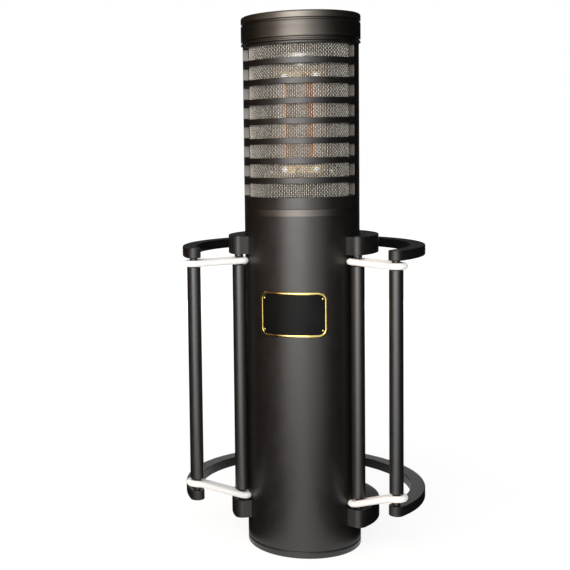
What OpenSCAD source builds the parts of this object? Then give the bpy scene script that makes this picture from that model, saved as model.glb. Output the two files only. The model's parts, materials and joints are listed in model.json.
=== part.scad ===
// Ribbon microphone: a slotted tube with a woven basket and a ribbon motor at the top,
// held by four elastic loops in a frame of two open rings and two rods, with a swivel stand socket behind.
// +Z runs up the body, the front looks along -Y, and the origin is the centre of the base face.

/* [Body] */
// Outside diameter of the body, the grille and the joint ring
body_d = 60; // [58:0.5:63]
// Wall of the body tube and of the slotted grille
wall = 3; // [2.6:0.1:3.4]
// Thickness of the base plate
base_t = 3.4; // [3:0.2:5]
// Length of the body tube between the base plate and the joint ring
body_len = 172.9; // [165:1:190]
// Height of the bright joint ring between the body and the grille
joint_h = 3.5; // [3:0.5:5]
// How far the joint ring's spigots reach into the tubes
spigot_len = 4.2; // [3.5:0.1:5]

/* [Grille] */
// Number of slots, one above the other, front and back
slot_count = 8; // [7:1:9]
// Height of a slot
slot_h = 7; // [5:0.5:8]
// Distance from one slot to the next
slot_pitch = 10; // [9.5:0.1:11]
// Half of the angle that a slot opens
slot_half_angle = 73; // [60:1:76]
// Plain band between the joint ring and the lowest slot
grille_foot = 6; // [5.5:0.5:9]
// Plain band between the highest slot and the cap
grille_head = 1; // [0.8:0.2:4]
// Thickness of the woven basket
mesh_t = 0.6; // [0.4:0.1:1]

/* [Cap] */
// How far the cap stands out past the grille
cap_overhang = 0.9; // [0.5:0.1:2]
// Height of the thin bead at the cap's lower edge
bead_h = 1.3; // [1:0.1:2.5]
// Height of the groove above the bead
groove_h = 0.8; // [0.6:0.1:2]
// Height of the wide plain band
band_h = 8.4; // [6:0.1:10]
// Height of the dark gap under the lid
lid_gap = 0.8; // [0.6:0.1:2]
// Thickness of the lid
lid_t = 3.7; // [3:0.1:5]
// Depth of the cap's grooves
groove_depth = 0.7; // [0.4:0.1:0.8]

/* [Ribbon motor] */
// Free length of the ribbon between its clamps
ribbon_len = 45; // [40:1:47]
// Width of the ribbon
ribbon_w = 4.6; // [4:0.1:5.6]
// Gap between the ribbon's edge and a pole piece
ribbon_gap = 0.3; // [0.2:0.05:0.6]
// Depth of a ribbon's corrugation, crest to crest
ribbon_d = 0.4; // [0.3:0.1:0.8]
// Width of a pole piece
pole_w = 5.4; // [4.4:0.1:6]
// Width of a magnet
magnet_w = 3; // [2:0.5:4]
// Thickness of the yoke's side bars and crossbars
yoke_t = 2.5; // [2:0.5:3]
// Depth of the yoke from front to back
yoke_d = 12; // [10:1:14]
// Height of the rubber isolators under the motor
isolator_h = 15.7; // [12:0.1:16]

/* [Chassis] */
// Thickness of a chassis rail
rail_t = 4; // [3.6:0.1:4.4]
// Width of a chassis rail
rail_w = 12; // [10:0.5:13]
// Length of the circuit board
board_len = 70; // [55:1:75]
// Height of the board's lower edge above the base plate
board_lift = 27; // [26:1:29]
// Diameter of the transformer can
can_d = 30; // [24:1:32]
// Height of the transformer can
can_h = 34; // [26:1:36]
// Height of the transformer shelf above the base plate
shelf_lift = 108; // [106:1:110]
// Diameter of a lead's insulation
lead_d = 1.2; // [0.8:0.1:1.4]

/* [Connector] */
// Inside diameter of the three-pin inlet's shell
inlet_d = 16.2; // [16:0.1:16.6]
// Depth of the inlet's recess
inlet_depth = 15; // [13:0.5:17]
// Wall of the inlet's shell
inlet_wall = 1.4; // [1:0.1:2]
// Diameter of a contact pin
pin_d = 2.4; // [2.2:0.1:2.5]
// Diameter of the circle that the pins stand on
pin_circle_d = 8.8; // [8.6:0.1:9.2]

/* [Badge] */
// Height of the badge plate
badge_h = 23; // [18:0.5:30]
// Half of the angle that the badge covers
badge_half_angle = 35; // [28:1:40]
// Height of the badge's centre above the base face
badge_z = 126.6; // [100:1:135]
// Corner radius of the badge
badge_corner_r = 4; // [3:0.1:5]
// Width of the badge's gold border
badge_border = 1.4; // [0.8:0.1:2]
// Thickness of the badge plate
badge_t = 0.6; // [0.4:0.1:1]

/* [Rods] */
// Diameter of the four suspension rods
rod_d = 7; // [6:0.2:7.4]
// Diameter of an inner rod's neck, where an elastic loop passes between the rod and the body
inner_neck_d = 3.2; // [3:0.1:3.4]
// Diameter of an outer rod's neck
outer_neck_d = 4; // [3.6:0.1:4.6]
// Clear space between an inner rod and the body
rod_gap = 0.7; // [0.5:0.1:2]
// Height of the inner rods' lower and upper ends
inner_rod_z0 = 29.8; // [29:0.2:31]
// Height of the outer rods' lower end
outer_rod_z0 = 38.6; // [38:0.2:40]
// Height of the upper end of all four rods
rod_top_z = 150.4; // [140:0.2:151]
// Angle of the inner rods forward of the side
inner_rod_angle = 25.7; // [20:0.1:30]
// Angle of the outer rods forward of the side
outer_rod_angle = 30.5; // [26:0.1:34]

/* [Collars] */
// Height of the upper collar's lower face
upper_collar_z = 156; // [155:0.2:158]
// Height of the lower collar's lower face
lower_collar_z = 15; // [14:0.2:16.6]
// Height of a collar
collar_h = 9.2; // [8:0.1:9.2]
// Radial thickness of a collar at the back
collar_back_t = 12.2; // [11:0.1:14]
// Corner radius of a collar's ends
collar_nose_r = 3.8; // [3.6:0.1:4.2]

/* [Frame] */
// Height of the upper ring's lower face
upper_ring_z = 155; // [154.6:0.2:158]
// Height of the lower ring's lower face
lower_ring_z = 27.6; // [26:0.2:28.2]
// Height of an outer ring
ring_h = 5; // [4.4:0.1:5]
// Width of an outer ring
ring_w = 7.5; // [7:0.1:9]
// Radius of the outer rings' centre line and of the outer rods
ring_r = 59.5; // [58:0.1:64]
// Diameter of an elastic loop's cord
elastic_d = 3.3; // [2.6:0.1:3.4]

/* [Stand mount] */
// Distance from the outer rings' centre line back to the swivel axis
pivot_reach = 24; // [22.5:0.5:28]
// Height of the swivel axis
pivot_z = 76; // [74:1:80]
// Radius of the ears and of the swivel arm's head
ear_r = 10; // [9:0.5:11]
// Thickness of an ear
ear_t = 4; // [3:0.5:6]
// Width of the swivel arm's head
arm_w = 12; // [10:0.5:14]
// Diameter of the swivel bolt
bolt_d = 6; // [5:0.5:7]
// Major diameter of the stand thread
thread_d = 15.88; // [15.8:0.01:16]
// Depth of the stand thread
thread_len = 12.5; // [11:0.5:14]
// Outside diameter of the stand barrel
barrel_d = 22; // [21:0.5:25]
// Diameter of the swivel arm's stem inside the barrel
stem_d = 12; // [10:0.5:13]
// Diameter of the locking knob
knob_d = 24; // [20:1:26]

/* [Hidden] */

$fn = 96;

// Colours
black = [0.10, 0.10, 0.11];
copper = [0.80, 0.45, 0.25];
gold = [0.80, 0.65, 0.30];
steel = [0.70, 0.70, 0.72];

// Clearances
slip = 0.05;         // between turned pieces that fit one inside the other
run_fit = 0.06;      // radial, between a shaft and its bore
apart = 0.3;         // between pieces of different bodies that pass each other
blend = 0.05;        // a round nose ends this far inside the flank that it continues
cut = 1;             // how far a cutter runs past the piece
edge = 0.5;          // chamfer of turned edges

body_r = body_d / 2;
bore_r = body_r - wall;
cap_r = body_r + cap_overhang;

// Heights, from the base face up
joint_z = base_t + body_len;
grille_z = joint_z + joint_h;
mesh_z = grille_z + spigot_len;
slots_z = grille_z + grille_foot;
cap_z = slots_z + (slot_count - 1) * slot_pitch + slot_h + grille_head;
band_z = cap_z + bead_h + groove_h;
neck_z = band_z + band_h;
lid_z = neck_z + lid_gap;
lid_flange_t = 2.3;
flange_z = lid_z - lid_flange_t;

// Joint ring and deck
ring_bore_r = bore_r - 2.6;
ledge_r = ring_bore_r - 4;
ledge_t = 4;
ledge_z = joint_z - ledge_t;
deck_t = 3;
deck_top_z = joint_z + deck_t;
deck_hole_r = 7;

// Small screws: shank radius, head radius, head height
m2 = [0.95, 1.8, 1.3];
m25 = [1.2, 2.5, 1.5];
m3 = [1.45, 2.6, 1.6];
tap = 0.03;          // between a screw's shank and its tapped hole
thread_in = 8;       // how deep a long screw goes into its piece
flush = 0.1;         // a sunk head lies this far below the face, with the same clearance round it

// Rails stand under the ledge of the joint ring
rail_x = ledge_r + (ring_bore_r - ledge_r) / 2;
rail_top_z = ledge_z;
board_t = 1.6;
board_w = 2 * rail_x + rail_t - 1;
board_z = base_t + board_lift;
board_y = -rail_w / 2 - board_t;
shelf_z = base_t + shelf_lift;
shelf_t = 4;
shelf_d = 28;
can_z = shelf_z + shelf_t;

// Motor, centred on the middle of the slotted part
yoke_z = deck_top_z + isolator_h;
clamp_h = 4;
ribbon_z = yoke_z + yoke_t + clamp_h;
yoke_top_z = ribbon_z + ribbon_len + clamp_h + yoke_t;
pole_x = ribbon_w / 2 + ribbon_gap;
magnet_x = pole_x + pole_w;
side_x = magnet_x + magnet_w;
yoke_half_w = side_x + yoke_t;
foot_x = yoke_half_w + 6;
isolator_x = yoke_half_w + 2.4;
isolator_r = 3;
clamp_w = 2 * (side_x - 0.2);
clamp_bar_t = 1.4;
clamp_block_t = 4;
top_plate_r = 16;
top_plate_t = 2;
top_plate_lift = 3.9;
top_plate_z = yoke_top_z + top_plate_lift;

// Rods: place of each rod seen from above, right side first
inner_rod_r = body_r + rod_gap + rod_d / 2;
inner_rod = [inner_rod_r * cos(inner_rod_angle), -inner_rod_r * sin(inner_rod_angle)];
outer_rod = [ring_r * cos(outer_rod_angle), -ring_r * sin(outer_rod_angle)];
inner_neck_r = inner_neck_d / 2;
outer_neck_r = outer_neck_d / 2;
elastic_r = elastic_d / 2;
upper_collar_top = upper_collar_z + collar_h;
lower_collar_top = lower_collar_z + collar_h;
upper_ring_top = upper_ring_z + ring_h;
lower_ring_top = lower_ring_z + ring_h;

// Collar: its outer circle is centred a little behind the body and meets the noses
collar_k = body_r + collar_back_t - collar_nose_r - blend;
collar_shift = (collar_k * collar_k - inner_rod_r * inner_rod_r) / (2 * (collar_k - inner_rod.y));
collar_r = body_r + collar_back_t - collar_shift;
collar_a = atan2(inner_rod.y - collar_shift, inner_rod.x);

// Stand mount
spine_w = 12;
spine_t = ring_w;
pivot_y = ring_r + pivot_reach;
spine_back_y = ring_r + spine_t / 2;
ear_x = arm_w / 2 + apart / 3;
arm_shoulder_z = pivot_z - ear_r - 5;
barrel_top_z = arm_shoulder_z - apart / 3;
barrel_web_t = 3;
barrel_sleeve_h = 8;
barrel_screw_h = 2;
barrel_z = barrel_top_z - barrel_sleeve_h - barrel_web_t - barrel_screw_h - thread_len;
barrel_r = barrel_d / 2;
stem_neck_r = stem_d / 4;
stem_head_r = stem_neck_r + 2;

// A cap screw with its head at z = 0..head height and its shank below
module screw(size, length) {
    cylinder(r = size[1], h = size[2]);
    translate([0, 0, -length]) cylinder(r = size[0], h = length + size[2] / 2);
}

// A tapped hole that ends at z = 0 and goes down
module tapped(size, length) {
    translate([0, 0, -length - tap]) cylinder(r = size[0] + tap, h = length + tap + cut);
}

// A plain hole from z = 0 up to t, with a recess for the screw's head in its upper or lower face
module sunk_hole(size, t, head_up) {
    translate([0, 0, -cut]) cylinder(r = size[0] + slip, h = t + 2 * cut);
    translate([0, 0, head_up ? t - size[2] - flush : -cut])
        cylinder(r = size[1] + flush, h = size[2] + flush + cut);
}

// Copies a piece made for the right side onto both sides
module both_sides() {
    children();
    mirror([1, 0, 0]) children();
}

// A tube along Z
module tube(r_out, r_in, h) {
    difference() {
        cylinder(r = r_out, h = h);
        translate([0, 0, -cut]) cylinder(r = r_in, h = h + 2 * cut);
    }
}

// A piece of a tube that faces -Y, with its angle to each side
module curved_panel(r_in, r_out, half_angle, h)
    rotate([0, 0, -90 - half_angle]) rotate_extrude(angle = 2 * half_angle)
        translate([r_in, 0]) square([r_out - r_in, h]);

// A round cord swept through a list of points: r is its radius, or a list with one radius for each point,
// and across is a direction that no stretch of it runs along
function unit(v) = v / norm(v);
function heading(points, i, closed) =
    let (n = len(points),
         before = closed ? (i + n - 1) % n : max(i - 1, 0),
         after = closed ? (i + 1) % n : min(i + 1, n - 1))
    unit(points[after] - points[before]);

module cord(points, r, across, closed = false, sides = 8) {
    n = len(points);
    rings = [for (i = [0:n - 1])
        let (ahead = heading(points, i, closed), side = unit(cross(ahead, across)), up = cross(side, ahead),
             here_r = is_list(r) ? r[i] : r)
        for (j = [0:sides - 1]) let (a = 360 * j / sides) points[i] + here_r * (cos(a) * side + sin(a) * up)];
    walls = [for (i = [0:closed ? n - 1 : n - 2], j = [0:sides - 1])
        let (next = (i + 1) % n, k = (j + 1) % sides)
        [i * sides + j, i * sides + k, next * sides + k, next * sides + j]];
    ends = closed ? [] : [[for (j = [sides - 1:-1:0]) j], [for (j = [0:sides - 1]) (n - 1) * sides + j]];
    polyhedron(points = rings, faces = concat(walls, ends));
}

// Base and inlet
base_screw_size = m25;
inlet_r = inlet_d / 2;
inlet_outer_r = inlet_r + inlet_wall;
inlet_flange_r = inlet_outer_r + 3.8;
inlet_flange_t = 1.6;
inlet_screw_r = inlet_outer_r + 1.9;
insulator_t = 5;
spigot_wall = 1.5;

module base_plate() {
    seam = 0.4;
    color(black) difference() {
        union() {
            rotate_extrude() polygon([
                [0, 0], [body_r - edge, 0], [body_r, edge], [body_r, base_t - seam],
                [body_r - seam, base_t - seam], [body_r - seam, base_t], [0, base_t]]);
            translate([0, 0, base_t - cut]) tube(bore_r - slip, bore_r - spigot_wall, spigot_len + cut);
        }
        translate([0, 0, -cut]) cylinder(r = inlet_outer_r + slip, h = base_t + 2 * cut);
        both_sides() translate([rail_x, 0, 0]) {
            translate([0, 0, -cut]) cylinder(r = base_screw_size[1] + apart, h = cut + 1.8);
            translate([0, 0, -cut]) cylinder(r = base_screw_size[0] + slip, h = base_t + 2 * cut);
        }
        for (side = [-1, 1]) translate([0, side * inlet_screw_r, base_t]) tapped(m2, base_t - 1.4);
    }
}

module base_screws()
    color(steel) both_sides() translate([rail_x, 0, 1.8]) rotate([180, 0, 0])
        screw(base_screw_size, base_t - 1.8 + thread_in);

module inlet_shell() {
    flange_z0 = base_t;
    color(steel) difference() {
        union() {
            translate([0, 0, edge]) cylinder(r = inlet_outer_r, h = inlet_depth + insulator_t);
            translate([0, 0, flange_z0]) cylinder(r = inlet_flange_r, h = inlet_flange_t);
        }
        translate([0, 0, -cut]) cylinder(r = inlet_r, h = inlet_depth + insulator_t + 3 * cut);
        for (side = [-1, 1]) translate([0, side * inlet_screw_r, flange_z0 - cut])
            cylinder(r = m2[0] + slip, h = inlet_flange_t + 2 * cut);
    }
}

function pin_place(i) = [pin_circle_d / 2 * cos(-90 + 120 * i), pin_circle_d / 2 * sin(-90 + 120 * i)];

module inlet_insulator()
    color([0.15, 0.15, 0.15]) translate([0, 0, inlet_depth + edge]) difference() {
        cylinder(r = inlet_r - slip, h = insulator_t);
        for (i = [0:2]) translate([pin_place(i).x, pin_place(i).y, -cut])
            cylinder(r = pin_d / 2, h = insulator_t + 2 * cut);
    }

pin_tip_z = 2.6;
pin_tail_z = inlet_depth + edge + insulator_t + 3.5;

module inlet_pins()
    color(gold) for (i = [0:2]) translate([pin_place(i).x, pin_place(i).y, 0]) {
        translate([0, 0, pin_tip_z]) cylinder(r = pin_d / 2, h = pin_tail_z - pin_tip_z);
        translate([0, 0, pin_tip_z]) sphere(r = pin_d / 2);
    }

module inlet_screws()
    color(steel) for (side = [-1, 1]) translate([0, side * inlet_screw_r, base_t + inlet_flange_t])
        screw(m2, inlet_flange_t + base_t - 1.6);

// Tubes
module body_tube()
    color(black) rotate_extrude() polygon([
        [bore_r, base_t], [body_r - edge, base_t], [body_r, base_t + edge],
        [body_r, joint_z], [bore_r, joint_z]]);

module joint_ring()
    color([0.35, 0.35, 0.36]) difference() {
        rotate_extrude() polygon([
            [ledge_r, ledge_z], [bore_r - slip, ledge_z], [bore_r - slip, joint_z],
            [body_r, joint_z], [body_r, grille_z], [bore_r - slip, grille_z], [bore_r - slip, mesh_z],
            [ring_bore_r, mesh_z], [ring_bore_r, joint_z], [ledge_r, joint_z]]);
        for (i = [0:2]) rotate([0, 0, 90 + 120 * i]) translate([rail_x, 0, joint_z])
            tapped(m2, ledge_t - 0.6);
        both_sides() translate([rail_x, 0, 0]) {
            translate([0, 0, joint_z - 1.6]) cylinder(r = m2[1] + slip, h = 1.6 + cut);
            translate([0, 0, ledge_z - cut]) cylinder(r = m2[0] + slip, h = ledge_t + 2 * cut);
        }
    }

module grille_tube()
    color(black) difference() {
        translate([0, 0, grille_z]) tube(body_r, bore_r, flange_z - grille_z);
        for (turn = [0, 180], i = [0:slot_count - 1])
            rotate([0, 0, turn]) translate([0, 0, slots_z + i * slot_pitch])
                curved_panel(bore_r - cut, body_r + cut, slot_half_angle, slot_h);
    }

module mesh_basket()
    color([0.85, 0.83, 0.78]) translate([0, 0, mesh_z])
        tube(bore_r - slip, bore_r - slip - mesh_t, flange_z - mesh_z);

// Cap
lid_screw_r = 23;
lid_bore_r = 18;

module cap_ring() {
    chamfer = 0.3;
    groove_r = cap_r - groove_depth;
    color(black) difference() {
        rotate_extrude() polygon([
            [body_r, cap_z], [cap_r - edge, cap_z], [cap_r, cap_z + edge],
            [cap_r, cap_z + bead_h - chamfer], [cap_r - chamfer, cap_z + bead_h],
            [groove_r, cap_z + bead_h], [groove_r, band_z],
            [cap_r - chamfer, band_z], [cap_r, band_z + chamfer],
            [cap_r, neck_z - chamfer], [cap_r - chamfer, neck_z],
            [groove_r, neck_z], [groove_r, lid_z], [lid_bore_r, lid_z], [lid_bore_r, flange_z],
            [body_r, flange_z]]);
        for (i = [0:2]) rotate([0, 0, 30 + 120 * i]) translate([lid_screw_r, 0, flange_z - cut])
            cylinder(r = m3[0] + slip, h = lid_flange_t + 2 * cut);
    }
}

module cap_lid() {
    chamfer = 0.3;
    round = 1;
    lid_top = lid_z + lid_t;
    color(black) difference() {
        rotate_extrude() union() {
            polygon([
                [0, lid_z], [cap_r - chamfer, lid_z], [cap_r, lid_z + chamfer],
                [cap_r, lid_top - round], [cap_r - round, lid_top - round], [cap_r - round, lid_top],
                [0, lid_top]]);
            intersection() {
                translate([cap_r - round, lid_top - round]) circle(r = round);
                translate([cap_r - round, lid_top - round]) square(round);
            }
        }
        for (i = [0:2]) rotate([0, 0, 30 + 120 * i]) translate([lid_screw_r, 0, lid_z])
            rotate([180, 0, 0]) tapped(m3, lid_t - 1.5);
    }
}

module lid_screws()
    color(steel) for (i = [0:2]) rotate([0, 0, 30 + 120 * i]) translate([lid_screw_r, 0, flange_z])
        rotate([180, 0, 0]) screw(m3, lid_flange_t + lid_t - 1.6);

// Ribbon motor
module motor_deck()
    color([0.6, 0.6, 0.62]) translate([0, 0, joint_z]) difference() {
        cylinder(r = ring_bore_r - slip, h = deck_t);
        translate([0, 0, -cut]) cylinder(r = deck_hole_r, h = deck_t + 2 * cut);
        for (i = [0:2]) rotate([0, 0, 90 + 120 * i]) translate([rail_x, 0, -cut])
            cylinder(r = m2[0] + slip, h = deck_t + 2 * cut);
        both_sides() translate([isolator_x, 0, deck_t]) tapped(m2, deck_t + cut);
    }

module deck_screws()
    color(steel) for (i = [0:2]) rotate([0, 0, 90 + 120 * i]) translate([rail_x, 0, deck_top_z])
        screw(m2, deck_t + ledge_t - 0.8);

module motor_isolators()
    color([0.2, 0.2, 0.2]) both_sides() translate([isolator_x, 0, deck_top_z])
        tube(isolator_r, m2[0] + slip, isolator_h);

module motor_bolts()
    color(steel) both_sides() translate([isolator_x, 0, yoke_z + yoke_t])
        screw(m2, yoke_t + isolator_h + deck_t - 0.2);

module motor_yoke()
    color(copper) difference() {
        union() {
            translate([-yoke_half_w, -yoke_d / 2, yoke_z])
                cube([2 * yoke_half_w, yoke_d, yoke_top_z - yoke_z]);
            translate([-foot_x, -isolator_r, yoke_z]) cube([2 * foot_x, 2 * isolator_r, yoke_t]);
        }
        translate([-side_x, -yoke_d / 2 - cut, yoke_z + yoke_t])
            cube([2 * side_x, yoke_d + 2 * cut, yoke_top_z - yoke_z - 2 * yoke_t]);
        both_sides() translate([isolator_x, 0, yoke_z - cut])
            cylinder(r = m2[0] + slip, h = yoke_t + 2 * cut);
        translate([0, 0, yoke_top_z]) tapped(m2, yoke_t + cut);
    }

// Round plate that steadies the motor's upper end, on a boss
module top_plate()
    color([0.8, 0.8, 0.78]) rotate_extrude() polygon([
        [m2[0] + slip, yoke_top_z], [6, yoke_top_z], [6, top_plate_z], [top_plate_r, top_plate_z],
        [top_plate_r, top_plate_z + top_plate_t], [m2[0] + slip, top_plate_z + top_plate_t]]);

module top_screw()
    color(steel) translate([0, 0, top_plate_z + top_plate_t])
        screw(m2, top_plate_t + top_plate_lift + yoke_t - 0.3);

magnet_d = yoke_d - 2;
pole_clear = 1;

module magnet()
    translate([magnet_x, -magnet_d / 2, ribbon_z + pole_clear])
        cube([magnet_w, magnet_d, ribbon_len - 2 * pole_clear]);

module left_magnet() color(steel) mirror([1, 0, 0]) magnet();
module right_magnet() color(steel) magnet();

// A pole piece narrows towards the ribbon
module pole() {
    tip_half_d = 1.5;
    translate([0, 0, ribbon_z + pole_clear]) linear_extrude(ribbon_len - 2 * pole_clear)
        polygon([
            [pole_x, -tip_half_d], [magnet_x - 1, -magnet_d / 2], [magnet_x, -magnet_d / 2],
            [magnet_x, magnet_d / 2], [magnet_x - 1, magnet_d / 2], [pole_x, tip_half_d]]);
}

module left_pole() color(copper) mirror([1, 0, 0]) pole();
module right_pole() color(copper) pole();

module ribbon()
    color([0.9, 0.9, 0.9]) translate([-ribbon_w / 2, -ribbon_d / 2, ribbon_z - clamp_h / 2])
        cube([ribbon_w, ribbon_d, ribbon_len + clamp_h]);

clamp_screw_x = clamp_w / 2 - 2.6;
clamp_screw_size = [0.7, 1.3, 0.9];

lower_clamp_z = ribbon_z - clamp_h;
upper_clamp_z = ribbon_z + ribbon_len;
clamp_zs = [lower_clamp_z, upper_clamp_z];

// Clamps: a block behind the ribbon and a bar in front of it, at each end
module clamp_blocks()
    color([0.25, 0.2, 0.15]) for (z = clamp_zs)
        translate([-clamp_w / 2, ribbon_d / 2, z]) difference() {
            cube([clamp_w, clamp_block_t, clamp_h]);
            for (x = [-1, 1]) translate([clamp_w / 2 + x * clamp_screw_x, 0, clamp_h / 2])
                rotate([90, 0, 0]) tapped(clamp_screw_size, clamp_block_t - 1);
        }

module clamp_bars()
    color(gold) for (z = clamp_zs)
        translate([-clamp_w / 2, -ribbon_d / 2 - clamp_bar_t, z]) difference() {
            cube([clamp_w, clamp_bar_t, clamp_h]);
            for (x = [-1, 1]) translate([clamp_w / 2 + x * clamp_screw_x, clamp_bar_t + cut, clamp_h / 2])
                rotate([90, 0, 0]) cylinder(r = clamp_screw_size[0] + slip, h = clamp_bar_t + 2 * cut);
        }

module clamp_screws()
    color(steel) both_sides() for (z = clamp_zs)
        translate([clamp_screw_x, -ribbon_d / 2 - clamp_bar_t, z + clamp_h / 2]) rotate([90, 0, 0])
            screw(clamp_screw_size, clamp_bar_t + ribbon_d + clamp_block_t - 1.2);

// Chassis
board_screw_zs = [board_z + 5, board_z + board_len - 5];

module rail()
    difference() {
        translate([rail_x - rail_t / 2, -rail_w / 2, base_t]) cube([rail_t, rail_w, rail_top_z - base_t]);
        translate([rail_x, 0, base_t]) rotate([180, 0, 0]) tapped(base_screw_size, thread_in + tap);
        translate([rail_x, 0, rail_top_z]) tapped(m2, thread_in);
        for (z = board_screw_zs) translate([rail_x, -rail_w / 2, z]) rotate([90, 0, 0]) tapped(m2, 5);
        translate([rail_x + rail_t / 2, 0, shelf_z + shelf_t / 2]) rotate([0, 90, 0])
            tapped(m2, rail_t + cut);
    }

module left_rail() color(steel) mirror([1, 0, 0]) rail();
module right_rail() color(steel) rail();

module rail_screws()
    color(steel) both_sides() {
        translate([rail_x, 0, joint_z - 1.6]) screw(m2, ledge_t - 1.6 + thread_in - 0.5);
        translate([rail_x + rail_t / 2, 0, shelf_z + shelf_t / 2]) rotate([0, 90, 0]) screw(m2, rail_t + 4);
    }

module circuit_board()
    color([0.1, 0.35, 0.2]) translate([0, board_y, board_z]) difference() {
        translate([-board_w / 2, 0, 0]) cube([board_w, board_t, board_len]);
        both_sides() for (z = board_screw_zs) translate([rail_x, board_t + cut, z - board_z])
            rotate([90, 0, 0]) cylinder(r = m2[0] + slip, h = board_t + 2 * cut);
    }

board_grip = 4.8;       // how far the board's screws reach past it

module board_screws()
    color(steel) both_sides() for (z = board_screw_zs) translate([rail_x, board_y, z])
        rotate([90, 0, 0]) screw(m2, board_t + board_grip);

capacitor_r = 4.5;
capacitor_h = 10;
transistor_r = 3.5;
transistor_h = 5;
part_x = 8;

// A round part that stands on the board's front face
module board_part(x, z, r, h)
    translate([x, board_y, board_z + z]) rotate([90, 0, 0]) cylinder(r = r, h = h);

module capacitors()
    color([0.15, 0.2, 0.35]) for (x = [-part_x, part_x], z = [0.25, 0.48] * board_len)
        board_part(x, z, capacitor_r, capacitor_h);

module transistors()
    color(steel) for (x = [-part_x, part_x]) board_part(x, 0.72 * board_len, transistor_r, transistor_h);

module transformer_shelf()
    color(steel) difference() {
        translate([rail_t / 2 - rail_x, -shelf_d / 2, shelf_z]) cube([2 * rail_x - rail_t, shelf_d, shelf_t]);
        translate([0, 0, shelf_z - cut]) cylinder(r = can_bolt_r + slip, h = shelf_t + 2 * cut);
        both_sides() translate([rail_x - rail_t / 2, 0, shelf_z + shelf_t / 2])
            rotate([0, 90, 0]) tapped(m2, 4.3);
    }

can_bolt_r = 2;
can_washer_r = 8;
can_washer_t = 2;
can_nut_t = 3.2;
can_nut_r = 4;
can_head_r = 3.6;
can_head_h = 2.6;

module transformer_can()
    color([0.55, 0.55, 0.58]) rotate_extrude() polygon([
        [can_bolt_r + slip, can_z], [can_d / 2, can_z], [can_d / 2, can_z + can_h - 1],
        [can_d / 2 - 1, can_z + can_h], [can_bolt_r + slip, can_z + can_h]]);

module transformer_bolt()
    color(steel) {
        translate([0, 0, shelf_z - can_nut_t])
            cylinder(r = can_bolt_r, h = can_nut_t + shelf_t + can_h + can_washer_t + 1);
        translate([0, 0, can_z + can_h]) cylinder(r = can_washer_r, h = can_washer_t);
        translate([0, 0, can_z + can_h + can_washer_t]) cylinder(r = can_head_r, h = can_head_h);
        translate([0, 0, shelf_z - can_nut_t]) cylinder(r = can_nut_r, h = can_nut_t, $fn = 6);
    }

// Insulated leads: ribbon clamps to transformer, transformer to board, board to inlet
module leads() {
    r = lead_d / 2;
    front_y = -yoke_d / 2 - 1.5;
    terminal_y = -ribbon_d / 2 - clamp_bar_t - r;
    can_top = can_z + can_h;
    board_front_y = board_y - r;
    shelf_front_y = -shelf_d / 2 - 3;
    lead_x = 5;
    can_front_y = -sqrt(can_d * can_d / 4 - (lead_x - r) * (lead_x - r)) - slip;
    top_x = yoke_half_w + 1.5;
    side_x = can_d / 2 - 4;
    pin_lead = 4;
    across = [1, 2, 0.3];
    color([0.12, 0.1, 0.1]) {
        cord([[-1.5, terminal_y, lower_clamp_z + 2], [-1.5, front_y, lower_clamp_z + 1],
              [-1.5, front_y, yoke_z - 2], [-3, -3, joint_z - 4], [-3, -3, can_top + 10],
              [-side_x, -3, can_top + 5], [-side_x, -3, can_top]], r, across);
        cord([[1.5, terminal_y, upper_clamp_z + 2], [2, front_y, upper_clamp_z + 2],
              [top_x, front_y, upper_clamp_z - 2], [top_x, front_y, yoke_z - 2],
              [3, -4, deck_top_z - 1], [3, -3, joint_z - 4], [3, -3, can_top + 10],
              [side_x, -3, can_top + 5], [side_x, -3, can_top]], r, across);
        for (x = [-lead_x, lead_x])
            cord([[x, can_front_y, can_z + 4], [x, shelf_front_y, can_z + 4],
                  [x, shelf_front_y, shelf_z - 3], [x, board_front_y, board_z + board_len - pin_lead]],
                 r, across);
        for (i = [0:2])
            cord([[pin_lead * pin_place(i).x / 3, board_front_y, board_z + 3],
                  [pin_lead * pin_place(i).x / 3, board_front_y, board_z - 1],
                  [pin_place(i).x, pin_place(i).y, pin_tail_z + 2.5],
                  [pin_place(i).x, pin_place(i).y, pin_tail_z]], r, across);
    }
}

// Badge: a gold plate with a bare black panel and four corner rivets
panel_t = 0.3;
rivet_r = 0.6;
badge_r = body_r + slip;

// A curved sheet with rounded corners, cut from a tube by a flat outline that is inset from the badge's
module badge_sheet(r_in, r_out, inset) {
    half_w = badge_r * sin(badge_half_angle) - inset;
    half_h = badge_h / 2 - inset;
    corner = badge_corner_r - inset;
    translate([0, 0, badge_z]) intersection() {
        translate([0, 0, -half_h]) tube(r_out, r_in, 2 * half_h);
        rotate([90, 0, 0]) linear_extrude(r_out + cut) {
            square([2 * half_w, 2 * (half_h - corner)], center = true);
            square([2 * (half_w - corner), 2 * half_h], center = true);
            for (x = [-1, 1], y = [-1, 1])
                translate([x * (half_w - corner), y * (half_h - corner)]) circle(r = corner - blend);
        }
    }
}

module badge_plate()
    color(gold) badge_sheet(badge_r, badge_r + badge_t, 0);

module badge_panel()
    color([0.03, 0.03, 0.03]) badge_sheet(badge_r + badge_t, badge_r + badge_t + panel_t, badge_border);

module badge_rivets() {
    inset = 3.4;
    inset_angle = inset / badge_r * 180 / PI;
    color(gold) for (side = [-1, 1], z = [-1, 1])
        translate([0, 0, badge_z + z * (badge_h / 2 - inset)])
            rotate([0, 0, -90 + side * (badge_half_angle - inset_angle)])
                translate([badge_r + badge_t + panel_t, 0, 0]) rotate([0, 90, 0])
                    cylinder(r = rivet_r, h = 0.4);
}

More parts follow.
